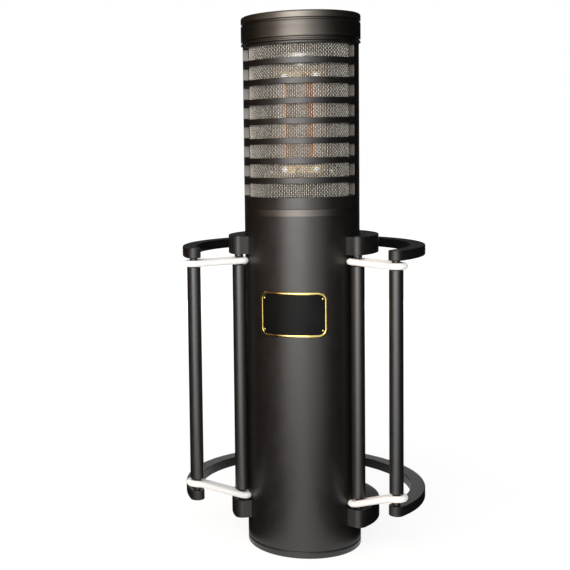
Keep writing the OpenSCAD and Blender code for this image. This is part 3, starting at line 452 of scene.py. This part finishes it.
def soften(node, width):
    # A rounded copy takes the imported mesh's place
    mesh = nodes[node].data.copy()
    mesh.name = node + "_edged"
    for spare in ("custom_normal", "sharp_face", "sharp_edge"):
        if spare in mesh.attributes:
            mesh.attributes.remove(mesh.attributes[spare])
    shape = bmesh.new()
    shape.from_mesh(mesh)
    bmesh.ops.remove_doubles(shape, verts=shape.verts, dist=edgeRounding["merge"])
    bmesh.ops.dissolve_limit(shape, angle_limit=radians(edgeRounding["flat"]), verts=shape.verts, edges=shape.edges)
    shape.to_mesh(mesh)
    shape.free()
    mesh.polygons.foreach_set("use_smooth", [True] * len(mesh.polygons))
    mesh.set_sharp_from_angle(angle=radians(edgeRounding["turn"]))
    item = bpy.data.objects.new(node + "_edged", mesh)
    scene.collection.objects.link(item)
    roundEdges(item, width)
    return finishPiece(item, bodyOf[node], finishFor(node), [node])


for name, width in edgeWidths.items():
    soften(name, width)
print("edges rounded:", len(edgeWidths))


# Grille: the tube with its two rows of slots, whose corners a round cutter leaves
slotGrille = {
    "wall": 3.0, "foot": 6.0, "pitch": 10.0, "slot": 7.0, "count": 8, "half": 73, "corner": 1.1, "cornerSteps": 6,
    "columns": 49, "between": 11, "edge": 0.2, "radialShare": 0.3, "uprightShare": 0.5}


def markMilled(item, values):
    # A milled face looks along the wall: its normal is neither radial nor upright
    count = len(item.data.polygons)
    centre, normal = np.empty(count * 3), np.empty(count * 3)
    item.data.polygons.foreach_get("center", centre)
    item.data.polygons.foreach_get("normal", normal)
    centre, normal = centre.reshape(-1, 3), normal.reshape(-1, 3)
    radial = np.abs((centre[:, :2] * normal[:, :2]).sum(1)) / np.hypot(centre[:, 0], centre[:, 1])
    milled = (radial < values["radialShare"]) & (np.abs(normal[:, 2]) < values["uprightShare"])
    item.data.attributes.new("milled", "FLOAT", "FACE").data.foreach_set("value", milled.astype(np.float32))
    return int(milled.sum())


def makeGrille(values):
    # Columns round the wall and levels up it. A slot's edges lie half its height from its middle, and in a corner of
    # radius c they come in by c times one minus the cosine of the turn. Cells inside a slot are left out
    low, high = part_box("grille_tube")
    outer, inner = high.x, high.x - values["wall"] * mm
    half, corner = radians(values["half"]), values["corner"] * mm
    turn = np.linspace(0, pi / 2, values["cornerSteps"] + 1)[1:]
    flat = np.linspace(-1, 1, values["columns"]) * (half - corner / outer)
    end = half - corner / outer * (1 - np.sin(turn))
    front = np.concatenate([-end[::-1], flat, end])
    frontRise = np.concatenate([np.cos(turn)[::-1], np.ones(len(flat)), np.cos(turn)])
    plain = np.linspace(half, pi - half, values["between"])[1:-1]
    angle = np.concatenate([front, plain, front + pi, plain + pi])
    rise = np.tile(np.concatenate([frontRise, np.zeros(len(plain))]), 2)
    isOpen = np.tile(np.concatenate([np.ones(len(front) - 1), np.zeros(len(plain) + 1)]), 2) > 0

    middle = low.z + (values["foot"] + values["slot"] / 2 + values["pitch"] * np.arange(values["count"])) * mm
    reach = values["slot"] / 2 * mm - corner * (1 - rise)
    edges = middle[:, None, None] + np.array([-1, 1])[:, None] * reach
    levels = np.concatenate([np.full((1, len(angle)), low.z), edges.reshape(-1, len(angle)),
                             np.full((1, len(angle)), high.z)])
    points = np.stack([np.stack([np.broadcast_to(r * np.sin(angle), levels.shape),
                                 np.broadcast_to(-r * np.cos(angle), levels.shape), levels], -1)
                       for r in (outer, inner)])

    rows, columns = levels.shape
    wall = gridQuads(rows, columns, wrapColumns=True).reshape(rows - 1, columns, 4)
    slotRow = np.arange(rows - 1) % 2 == 1
    kept = wall[~(slotRow[:, None] & isOpen)]
    number = np.arange(rows * columns).reshape(rows, columns)
    after = np.roll(number, -1, 1)
    through = rows * columns
    across = [np.stack([number[picked][:, chosen], after[picked][:, chosen], after[picked][:, chosen] + through,
                        number[picked][:, chosen] + through], -1).reshape(-1, 4)
              for picked, chosen in ((slice(1, rows - 1), isOpen), ([0, rows - 1], slice(None)))]
    ends = np.flatnonzero(isOpen != np.roll(isOpen, 1))
    upper, lower = number[1:][slotRow][:, ends], number[:-1][slotRow][:, ends]
    endWalls = np.stack([lower, upper, upper + through, lower + through], -1).reshape(-1, 4)
    item = makePiece("grille_slotted_tube", points, np.concatenate([kept, kept + through, *across, endWalls]),
                     "microphone", "black_enamel", ["grille_tube"], sharp=edgeRounding["turn"],
                     material=finish["grille"])
    milled = markMilled(item, values)
    roundEdges(item, values["edge"], clamp=False)
    print("grille slotted:", milled, "milled faces")


makeGrille(slotGrille)

# Woven basket: upright wires and rings that pass over and under each other
# hollow is the span out from the wires' middle over which the painted shade fades out, and dark is the share of colour
# left at its deepest
weave = {"pitch": 0.93, "wire": 0.155, "wave": 0.16, "inset": 0.3, "hollow": (0.0, 0.26), "dark": 0.16}


def paintShadeInHollows(material, middle, values):
    # Painted shade in the hollows: the cloth's colour times a share that grows with the distance from the Z axis, so
    # that its hollows are darker
    tree = material.node_tree
    shader = tree.nodes["Principled BSDF"]
    bright = shader.inputs["Base Color"].links[0].from_socket
    flat = addNode(tree, "ShaderNodeVectorMath", operation="MULTIPLY")
    flat.inputs[1].default_value = (1, 1, 0)
    link(tree, addNode(tree, "ShaderNodeTexCoord").outputs["Object"], flat.inputs[0])
    reach = addNode(tree, "ShaderNodeVectorMath", operation="LENGTH")
    link(tree, flat.outputs["Vector"], reach.inputs[0])
    inner, outer = (middle + step * mm for step in values["hollow"])
    share = spread(tree, reach.outputs["Value"], values["dark"], 1.0, inner, outer)
    link(tree, mixColours(tree, share, (0.0, 0.0, 0.0), bright), shader.inputs["Base Color"])


def makeWeave(values):
    # Wire k and ring m cross at angle k and height m, each pushed out or in from the middle by the wave, in turns
    low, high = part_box("mesh_basket")
    middle = high.x - values["inset"] * mm
    # Both wire finishes get painted shade in their hollows
    for name in ("woven_wire", "shaded_ring_wire"):
        paintShadeInHollows(finish[name], middle, values)
    count = 2 * int(round(pi * middle / (values["pitch"] * mm)))
    levels = int((high.z - low.z) / (values["pitch"] * mm))
    angle = (np.arange(count) + 0.5) / count * 2 * pi
    height = low.z + (np.arange(levels) + 0.5) * (high.z - low.z) / levels
    k, m = np.meshgrid(np.arange(count), np.arange(levels), indexing="ij")
    push = values["wave"] * mm * (1 - 2 * ((k + m) % 2))
    out = np.stack([np.cos(angle), np.sin(angle), 0 * angle], -1)[:, None, None]
    tangent = np.stack([-np.sin(angle), np.cos(angle), 0 * angle], -1)[:, None, None]
    upright = np.array([0, 0, 1.0])
    corner = np.arange(4) * pi / 2
    a, b = (values["wire"] * mm * part[None, None, :, None] for part in (np.cos(corner), np.sin(corner)))
    base = height[None, :, None, None] * upright

    warp = (middle + push)[..., None, None] * out + base + a * out + b * tangent
    weft = (middle - push)[..., None, None] * out + base + a * out - b * upright
    starts = np.arange(count)[:, None, None] * levels * 4
    makePiece("mesh_upright_wires", warp, (cappedQuads(levels) + starts).reshape(-1, 4), "microphone", "woven_wire",
              ["mesh_basket"], sharp=180)
    ringFaces = gridQuads(count, 4, wrapRows=True, wrapColumns=True)
    starts = np.arange(levels)[:, None, None] * count * 4
    # The rings take the darker copy of the wires' finish, painted shade
    makePiece("mesh_ring_wires", weft.transpose(1, 0, 2, 3), (ringFaces + starts).reshape(-1, 4), "microphone",
              "woven_wire", sharp=180, material=finish["shaded_ring_wire"])
    print("basket woven:", count, "wires and", levels, "rings")


makeWeave(weave)

# Painted shade: a fine black sheet behind the motor, which stands in for the shade at the back of the basket as seen
# from the front
rearShadeGauze = {"radius": 26.1, "half": 86, "thick": 0.15, "columns": 96}


def makeShadeGauze(values):
    # A thin closed sheet bent round Z: an inner and an outer arc that face the back, from the basket's foot to its top
    low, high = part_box("mesh_basket")
    half = radians(values["half"])
    angle = np.linspace(pi / 2 - half, pi / 2 + half, values["columns"])
    inner, outer = (values["radius"] - values["thick"]) * mm, values["radius"] * mm
    section = [(inner, low.z), (outer, low.z), (outer, high.z), (inner, high.z)]
    points = np.stack([np.stack([r * np.cos(angle), r * np.sin(angle), np.full(len(angle), z)], -1)
                       for r, z in section], 1)
    makePiece("rear_shade_gauze", points, cappedQuads(len(angle)), "microphone", "woven_wire", material=finish["shade_gauze"])


makeShadeGauze(rearShadeGauze)
print("gauze bent")

# Ribbon: a strip that waves from front to back along its height
ribbonFold = {"pitch": 1.3, "foil": 0.06, "samples": 460}


def makeRibbon(values):
    # A flat section carried up Z, moved forward and back by a sine of the height
    low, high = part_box("ribbon")
    depth = high.y - low.y - values["foil"] * mm
    z = np.linspace(low.z, high.z, values["samples"])
    shift = 0.5 * depth * np.sin(2 * pi * z / (values["pitch"] * mm))
    half = 0.5 * values["foil"] * mm
    x = np.array([low.x, high.x, high.x, low.x])
    y = np.array([-half, -half, half, half])
    points = np.stack([np.broadcast_to(x, (len(z), 4)), y + shift[:, None], np.broadcast_to(z[:, None], (len(z), 4))],
                      -1)
    makePiece("ribbon_foil_strip", points, cappedQuads(len(z)), "microphone", "ribbon_foil", ["ribbon"])


makeRibbon(ribbonFold)
print("ribbon folded")


def middleOf(node):
    low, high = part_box(node)
    return (low.x + high.x) / 2, (low.y + high.y) / 2


def outerRodPlace():
    # The right outer rod's middle, from the box round both rods
    low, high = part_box("outer_rods")
    return high.x - (high.y - low.y) / 2, (low.y + high.y) / 2


# Screws with a six-sided socket, which a flare leads into and a drill's cone ends
screwSizes = {
    "small": {"shank": 0.95, "head": 1.8, "height": 1.3, "edge": 0.2, "socket": 0.75, "deep": 0.8},
    "large": {"shank": 1.2, "head": 2.5, "height": 1.5, "edge": 0.2, "socket": 1.0, "deep": 1.0},
    "grub": {"shank": 1.45, "edge": 0.25, "socket": 0.75, "deep": 1.4},
}
socketShape = {"flare": 1.12, "lip": 0.06, "cone": 0.25}
screwPlaces = {"postLength": 11.5, "baseLength": 9.5, "spineAside": 3, "grubFrom": 30.1, "grubAngles": (50, 90, 130)}


def socketRows(v, top):
    floor = top - v["deep"]
    return [(v["socket"] * socketShape["flare"], top, 0), (v["socket"], top - socketShape["lip"], 1),
            (v["socket"], floor, 1), (0, floor - socketShape["cone"], 0)]


def capScrew(size, length):
    # Head from 0 up, shank below, as a turned profile that ends in the socket
    v = screwSizes[size]
    edge, top = v["edge"], v["height"]
    points, faces = revolve([
        (0, -length, 0), (v["shank"] - edge, -length, 0), (v["shank"], edge - length, 0), (v["shank"], 0, 0),
        (v["head"] - edge / 2, 0, 0), (v["head"], edge / 2, 0), (v["head"], top - edge, 0),
        (v["head"] - edge / 3, top - edge / 3, 0), (v["head"] - edge, top, 0)] + socketRows(v, top))
    return points * mm, faces


def grubScrew(length):
    # No head: a cone point at 0, and the socket at the other end
    v = screwSizes["grub"]
    edge = v["edge"]
    points, faces = revolve([
        (0, 0, 0), (v["shank"] * 0.5, 0, 0), (v["shank"], v["shank"] * 0.5, 0), (v["shank"], length - edge, 0),
        (v["shank"] - edge, length, 0)] + socketRows(v, length))
    return points * mm, faces


def screwsAt(size, places, node):
    # Each place is the head's inner face, the screw's length in millimetres and the way that the head points
    shapes = []
    for origin, length, axis in places:
        points, faces = capScrew(size, length)
        shapes.append((placeAt(points, origin, axis), faces))
    name = node.replace("_screws", "_socket_screws")
    makePiece(name, *joinShapes(shapes), bodyOf[node], slotOf[node], [node], sharp=30)


def pairEnds(node, size, x, y):
    # Screws down into the upper end and up into the lower end of the two posts at x and -x
    low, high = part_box(node)
    head = screwSizes[size]["height"] * mm
    return [((side * x, y, z), screwPlaces["postLength"], (0, 0, way))
            for side in (-1, 1) for z, way in ((high.z - head, 1), (low.z + head, -1))]


def makeScrews():
    head = screwSizes["large"]["head"] * mm
    screwsAt("small", pairEnds("rod_screws", "small", *middleOf("right_inner_rod")), "rod_screws")
    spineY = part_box("frame_screws")[1].y - head
    screwsAt("large", pairEnds("frame_screws", "large", *outerRodPlace())
             + pairEnds("frame_screws", "large", screwPlaces["spineAside"] * mm, spineY), "frame_screws")
    low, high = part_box("base_screws")
    z = low.z + screwSizes["large"]["height"] * mm
    screwsAt("large", [((side * (high.x - head), 0, z), screwPlaces["baseLength"], (0, 0, -1)) for side in (-1, 1)],
             "base_screws")
    low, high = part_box("collar_screws")
    grub = screwSizes["grub"]["shank"] * mm
    inner = screwPlaces["grubFrom"] * mm
    shapes = []
    for z in (low.z + grub, high.z - grub):
        for angle in screwPlaces["grubAngles"]:
            way = np.array([cos(radians(angle)), sin(radians(angle)), 0])
            points, faces = grubScrew((high.y - inner) / mm)
            shapes.append((placeAt(points, way * inner + np.array([0, 0, z]), way), faces))
    makePiece("collar_grub_screws", *joinShapes(shapes), "microphone", "screw_steel", ["collar_screws"], sharp=30)


makeScrews()
print("screws turned")

# Badge: a domed gold rim round the bare panel, and domed rivets
badge = {
    "rim": 1.4, "rise": 0.45, "sink": 0.1, "corner": 4.0, "cornerSamples": 14, "step": 0.9, "across": 11,
    "rivet": 0.62, "rivetRise": 0.4, "rivetSink": 0.2, "rivetInset": 0.85, "rivetColumns": 24, "rivetRows": 8}


def roundedOutline(halfW, halfH, corner, samples):
    # A rectangle with quarter-circle corners, as points and the outward way at each
    turn = np.linspace(0, pi / 2, samples)
    points, ways = [], []
    for i, (sx, sz) in enumerate(((1, 1), (-1, 1), (-1, -1), (1, -1))):
        way = np.stack([np.cos(turn + i * pi / 2), np.sin(turn + i * pi / 2)], -1)
        points.append(np.array([sx * (halfW - corner), sz * (halfH - corner)]) + corner * way)
        ways.append(way)
    return np.concatenate(points), np.concatenate(ways)


def fillStraights(points, ways, step):
    # More points on the long straight stretches, so that the outline can bend round the body
    newPoints, newWays = [], []
    for i in range(len(points)):
        after = (i + 1) % len(points)
        share = np.arange(max(1, int(np.linalg.norm(points[after] - points[i]) / step)))[:, None]
        share = share / len(share)
        newPoints.append(points[i] * (1 - share) + points[after] * share)
        newWays.append(ways[i] * (1 - share) + ways[after] * share)
    return np.concatenate(newPoints), np.concatenate(newWays)


def makeBadge(values):
    # The rim's section is half an ellipse. It is carried round the outline, and depth comes from the body's circle
    low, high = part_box("badge_plate")
    centreZ = (low.z + high.z) / 2
    bodyR = -low.y
    half = values["rim"] * mm / 2
    points, ways = roundedOutline(high.x - half, (high.z - low.z) / 2 - half, values["corner"] * mm - half,
                                  values["cornerSamples"])
    points, ways = fillStraights(points, ways, values["step"] * mm)
    t = np.linspace(0, pi, values["across"])
    across = np.concatenate([half * np.cos(t), [-half, half]])
    rise = np.concatenate([values["rise"] * mm * np.sin(t), np.full(2, -values["sink"] * mm)])
    flat = points[:, None] + ways[:, None] * across[None, :, None]
    depth = -np.sqrt((bodyR + rise[None, :]) ** 2 - flat[..., 0] ** 2)
    rim = np.stack([flat[..., 0], depth, centreZ + flat[..., 1]], -1)
    faces = gridQuads(rim.shape[0], rim.shape[1], wrapRows=True, wrapColumns=True)
    makePiece("badge_rim", rim, faces, "microphone", "gold_plate", sharp=60)

    # A rivet is a quarter ellipse turned round its own axis, which points straight out of the body
    low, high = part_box("badge_rivets")
    panelR = -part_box("badge_panel")[0].y
    rows = [(0, -values["rivetSink"], 0), (values["rivet"], -values["rivetSink"], 0)] + [
        (values["rivet"] * cos(a), values["rivetRise"] * sin(a), 0)
        for a in np.linspace(0, pi / 2, values["rivetRows"])]
    dome, domeFaces = revolve(rows, values["rivetColumns"])
    reach = (high.z - low.z) / 2 - values["rivet"] * mm
    turn = np.arcsin((high.x - values["rivet"] * mm * values["rivetInset"]) / panelR)
    shapes = []
    for side in (-1, 1):
        way = np.array([side * np.sin(turn), -np.cos(turn), 0])
        for end in (-1, 1):
            origin = way * panelR + np.array([0, 0, centreZ + end * reach])
            shapes.append((placeAt(dome * mm, origin, way), domeFaces))
    makePiece("badge_dome_rivets", *joinShapes(shapes), "microphone", "gold_plate", ["badge_rivets"])


makeBadge(badge)
print("badge rimmed")

# Elastic loops between the rods. The cord slopes, so its box ends at a share ("edge") of its radius from its middle
elasticLoop = {
    "radius": 1.65, "clear": 0.3, "innerNeck": 1.6, "outerNeck": 2.0, "sides": 24, "samples": 420, "bend": 61,
    "smooth": 28, "edge": 0.951, "relief": 0.02}


def evenPath(points, radii, values):
    # Points and radii at even steps along a closed loop. The height changes gently: each point takes a weighted mean
    # of its neighbours' heights
    length = np.concatenate([[0], np.cumsum(np.linalg.norm(np.diff(points, axis=0), axis=1))])
    even = np.linspace(0, length[-1], values["samples"], endpoint=False)
    path = np.stack([np.interp(even, length, points[:, i]) for i in range(3)], -1)
    smooth = values["smooth"]
    weights = np.hanning(2 * smooth + 3)[1:-1]
    weights = weights / weights.sum()
    path[:, 2] = sum(w * np.roll(path[:, 2], i - smooth) for i, w in enumerate(weights))
    return path * mm, np.interp(even, length, radii) * mm


def loopPath(inner, outer, levels, bodyR, values):
    # Half a turn round each rod and two straight runs. By the body, the inner bend keeps clear of the body's circle
    # and the cord thins to fit
    full = values["radius"]
    loop = values["outerNeck"] + values["clear"] + 2 * full
    span = outer - inner
    turn = np.arctan2(span[1], span[0])
    bend = values["bend"]
    half = np.linspace(0, pi, bend)
    angle = turn + pi / 2 + half
    innerR = np.hypot(*inner)
    toBody = angle - np.arctan2(-inner[1], -inner[0])
    along = innerR * np.cos(toBody)
    room = along ** 2 + (bodyR + values["clear"]) ** 2 - innerR ** 2
    reach = np.where((room > 0) & (along > 0), along - np.sqrt(np.maximum(room, 0)), innerR)
    outside = np.minimum(loop, reach)
    radius = np.minimum(full, (outside - values["innerNeck"]) / 2)
    near = inner + (outside - radius)[:, None] * np.stack([np.cos(angle), np.sin(angle)], -1)
    angle = turn - pi / 2 + half
    far = outer + (loop - full) * np.stack([np.cos(angle), np.sin(angle)], -1)
    points = np.concatenate([near, far, near[:1]])
    heights = np.concatenate([np.full(bend, levels[0]), np.full(bend, levels[1]), levels[:1]])
    radii = np.concatenate([radius, np.full(bend, full), radius[:1]])
    points = np.concatenate([points, heights[:, None]], -1)
    return evenPath(points, radii, values)


def makeElastic(node, values):
    # A round section carried along the closed loop, with strands raised a little in two crossing windings
    low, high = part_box(node)
    isLeft = low.x + high.x < 0
    inner = np.array(middleOf("left_inner_rod" if isLeft else "right_inner_rod")) / mm
    outer = np.array(outerRodPlace()) * (-1 if isLeft else 1, 1) / mm
    margin = values["radius"] * values["edge"]
    ends = [high.z / mm - margin, low.z / mm + margin]
    levels = ends if node.startswith("upper") else ends[::-1]
    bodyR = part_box("body_tube")[1].x / mm
    path, radii = loopPath(inner, outer, np.array(levels), bodyR, values)
    ahead = np.roll(path, -1, 0) - np.roll(path, 1, 0)
    ahead /= np.linalg.norm(ahead, axis=1)[:, None]
    across = np.cross(ahead, [0, 0, 1.0])
    across /= np.linalg.norm(across, axis=1)[:, None]
    above = np.cross(across, ahead)
    rows, columns = values["samples"], values["sides"]
    u, v = np.meshgrid(np.arange(rows) / rows, np.arange(columns) / columns, indexing="ij")
    along, turned = 2 * pi * elasticFinish["along"] * u, 2 * pi * elasticFinish["round"] * v
    strands = np.abs(np.sin(along + turned) * np.sin(along - turned))
    reach = radii[:, None] - values["relief"] * mm * (1 - strands)
    turn = 2 * pi * v
    points = path[:, None] + reach[..., None] * (
        np.cos(turn)[..., None] * across[:, None] - np.sin(turn)[..., None] * above[:, None])
    item = makePiece(node + "_braid", points, gridQuads(rows, columns, True, True), None, "white_elastic", [node],
                     sharp=180, uv=gridUv(rows, columns))
    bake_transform(item)


for name in ("upper_left_elastic", "upper_right_elastic", "lower_left_elastic", "lower_right_elastic"):
    makeElastic(name, elasticLoop)
print("elastics looped")

# Stand thread: a ridge wound inside the barrel
standThread = {
    "pitch": 25.4 / 27, "radius": 7.94, "depth": 0.55, "length": 12.0, "steps": 48, "sink": 0.03,
    "lift": (-0.40, -0.06, 0.06, 0.40)}


def makeThread(values):
    # A low four-sided ridge carried along a helix: its foot is sunk in the bore, and its crest stands nearer the axis
    low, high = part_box("stand_barrel")
    centreY = (low.y + high.y) / 2
    turns = values["length"] / values["pitch"] - 1
    angle = np.linspace(0, 2 * pi * turns, int(turns * values["steps"]))[:, None]
    foot, crest = values["radius"] + values["sink"], values["radius"] - values["depth"]
    reach = np.array([foot, crest, crest, foot])
    lift = np.array(values["lift"]) + values["pitch"] / 2
    x = reach * np.cos(angle)
    y = reach * np.sin(angle)
    z = lift + values["pitch"] * angle / (2 * pi)
    points = np.stack([x, y, z], -1) * mm + np.array([0, centreY, low.z])
    makePiece("stand_thread_ridge", points, cappedQuads(len(angle)), "barrel", "shell_nickel")


makeThread(standThread)
print("thread cut")

# Light: a softbox in front, a warm one at its left, a low strip behind, a pale floor and a white surround
studio = {
    "target": (0, 0, 0.2),
    "key": {"azimuth": -1, "elevation": 13, "distance": 0.95, "width": 0.70, "height": 0.75, "power": 8.6,
            "colour": (1.0, 0.985, 0.97)},
    "warm": {"azimuth": -38, "elevation": 14, "distance": 0.95, "width": 0.30, "height": 0.8, "power": 3.0,
             "colour": (1.0, 0.66, 0.44)},
    "rear": {"azimuth": 190, "elevation": -7, "distance": 0.95, "width": 0.8, "height": 0.14, "power": 2.2,
             "colour": (1.0, 0.99, 0.98)},
    "fill": 0.43,
    "floorNear": 0.86,
    "floorFar": 1.0,
    "floorFade": (0.15, 0.7),
    "floorColour": 0.22,
    "floorBounce": 0.8,
    "floorHalf": 6,
    "flagAside": 0.16,
    "flagBack": 1.2,
    "flagFront": 0.20,
    "flagHeight": 0.9,
    "flagGrey": 0.007,
    "matLift": 0.001,
    "matAside": (0.034, 0.16),
}


def softbox(name, values):
    data = bpy.data.lights.new(name, "AREA")
    data.shape = "RECTANGLE"
    data.size, data.size_y = values["width"], values["height"]
    data.energy = values["power"]
    data.color = values["colour"]
    item = bpy.data.objects.new(name, data)
    azimuth, elevation = radians(values["azimuth"]), radians(values["elevation"])
    away = Vector((sin(azimuth) * cos(elevation), -cos(azimuth) * cos(elevation), sin(elevation)))
    item.location = Vector(studio["target"]) + away * values["distance"]
    item.rotation_euler = away.to_track_quat("Z", "Y").to_euler()
    item.visible_camera = False
    scene.collection.objects.link(item)


def seenDirectly(tree):
    # 1 for rays from the camera, from a glossy surface or through glass
    path = addNode(tree, "ShaderNodeLightPath")
    both = calc(tree, "MAXIMUM", path.outputs["Is Camera Ray"], path.outputs["Is Glossy Ray"])
    return calc(tree, "MAXIMUM", both, path.outputs["Is Transmission Ray"])


def makeWorld():
    world = bpy.data.worlds.new("surround")
    scene.world = world
    world.use_nodes = True
    tree = world.node_tree
    tree.nodes.clear()
    output = addNode(tree, "ShaderNodeOutputWorld")
    plain = addNode(tree, "ShaderNodeBackground", Color=(1, 1, 1, 1), Strength=studio["fill"])
    white = addNode(tree, "ShaderNodeBackground", Color=(1, 1, 1, 1), Strength=1.0)
    mix = addNode(tree, "ShaderNodeMixShader")
    link(tree, seenDirectly(tree), mix.inputs[0])
    link(tree, plain.outputs[0], mix.inputs[1])
    link(tree, white.outputs[0], mix.inputs[2])
    link(tree, mix.outputs[0], output.inputs[0])


def plane(name, corners):
    mesh = bpy.data.meshes.new(name)
    mesh.from_pydata(corners, [], [(0, 1, 2, 3)])
    item = bpy.data.objects.new(name, mesh)
    scene.collection.objects.link(item)
    return item


def makeFloor():
    # Rays that see the floor directly meet a glow that turns to white away from the piece, and a dim coat that takes
    # the shadow. Other rays meet plain pale paint
    far = studio["floorHalf"]
    item = plane("floor", [(-far, -far, 0), (far, -far, 0), (far, far, 0), (-far, far, 0)])
    material = bpy.data.materials.new("floor_finish")
    material.use_nodes = True
    tree = material.node_tree
    tree.nodes.clear()
    output = addNode(tree, "ShaderNodeOutputMaterial")
    pale = studio["floorColour"]
    dim = addNode(tree, "ShaderNodeBsdfDiffuse", Color=(pale, pale, pale, 1))
    glow = addNode(tree, "ShaderNodeEmission", Color=(1, 1, 1, 1))
    reach = addNode(tree, "ShaderNodeVectorMath", operation="LENGTH")
    link(tree, addNode(tree, "ShaderNodeTexCoord").outputs["Object"], reach.inputs[0])
    white = spread(tree, reach.outputs["Value"], studio["floorNear"], studio["floorFar"], *studio["floorFade"])
    link(tree, white, glow.inputs["Strength"])
    both = addNode(tree, "ShaderNodeAddShader")
    bounce = studio["floorBounce"]
    plain = addNode(tree, "ShaderNodeBsdfDiffuse", Color=(bounce, bounce, bounce, 1))
    mix = addNode(tree, "ShaderNodeMixShader")
    link(tree, dim.outputs[0], both.inputs[0])
    link(tree, glow.outputs[0], both.inputs[1])
    link(tree, seenDirectly(tree), mix.inputs[0])
    link(tree, plain.outputs[0], mix.inputs[1])
    link(tree, both.outputs[0], mix.inputs[2])
    link(tree, mix.outputs[0], output.inputs[0])
    item.data.materials.append(material)


def makeFlags():
    # Dark boards at both sides and behind, and mats on the floor, square to the way that the camera faces. Only
    # reflections show them
    dark = bpy.data.materials.new("flag_finish")
    dark.use_nodes = True
    tree = dark.node_tree
    tree.nodes.clear()
    glow = addNode(tree, "ShaderNodeEmission", Color=(1, 1, 1, 1), Strength=studio["flagGrey"])
    link(tree, glow.outputs[0], addNode(tree, "ShaderNodeOutputMaterial").inputs[0])
    eye = Vector(cameraView["place"])
    ahead = Vector((-eye.x, -eye.y, 0)).normalized()
    side = Vector((ahead.y, -ahead.x, 0))
    front, back = -ahead * studio["flagFront"], ahead * studio["flagBack"]
    low, high = Vector((0, 0, studio["matLift"])), Vector((0, 0, studio["flagHeight"]))
    boards = []
    for name, way in (("left", -1), ("right", 1)):
        flag = side * way * studio["flagAside"]
        near, far = (side * way * aside for aside in studio["matAside"])
        boards.append(("flag_" + name,
                       [flag + front + low, flag + back + low, flag + back + high, flag + front + high]))
        boards.append(("mat_" + name, [near + front + low, near + back + low, far + back + low, far + front + low]))
    wide = side * studio["flagAside"]
    boards.append(("flag_back", [back - wide + low, back + wide + low, back + wide + high, back - wide + high]))
    for name, corners in boards:
        item = plane(name, corners)
        item.data.materials.append(dark)
        item.visible_camera = False
        item.visible_diffuse = False
        item.visible_shadow = False
        item.visible_transmission = False


softbox("softbox_front", studio["key"])
softbox("softbox_warm", studio["warm"])
softbox("softbox_rear", studio["rear"])
makeWorld()
makeFloor()
makeFlags()
print("studio lit")
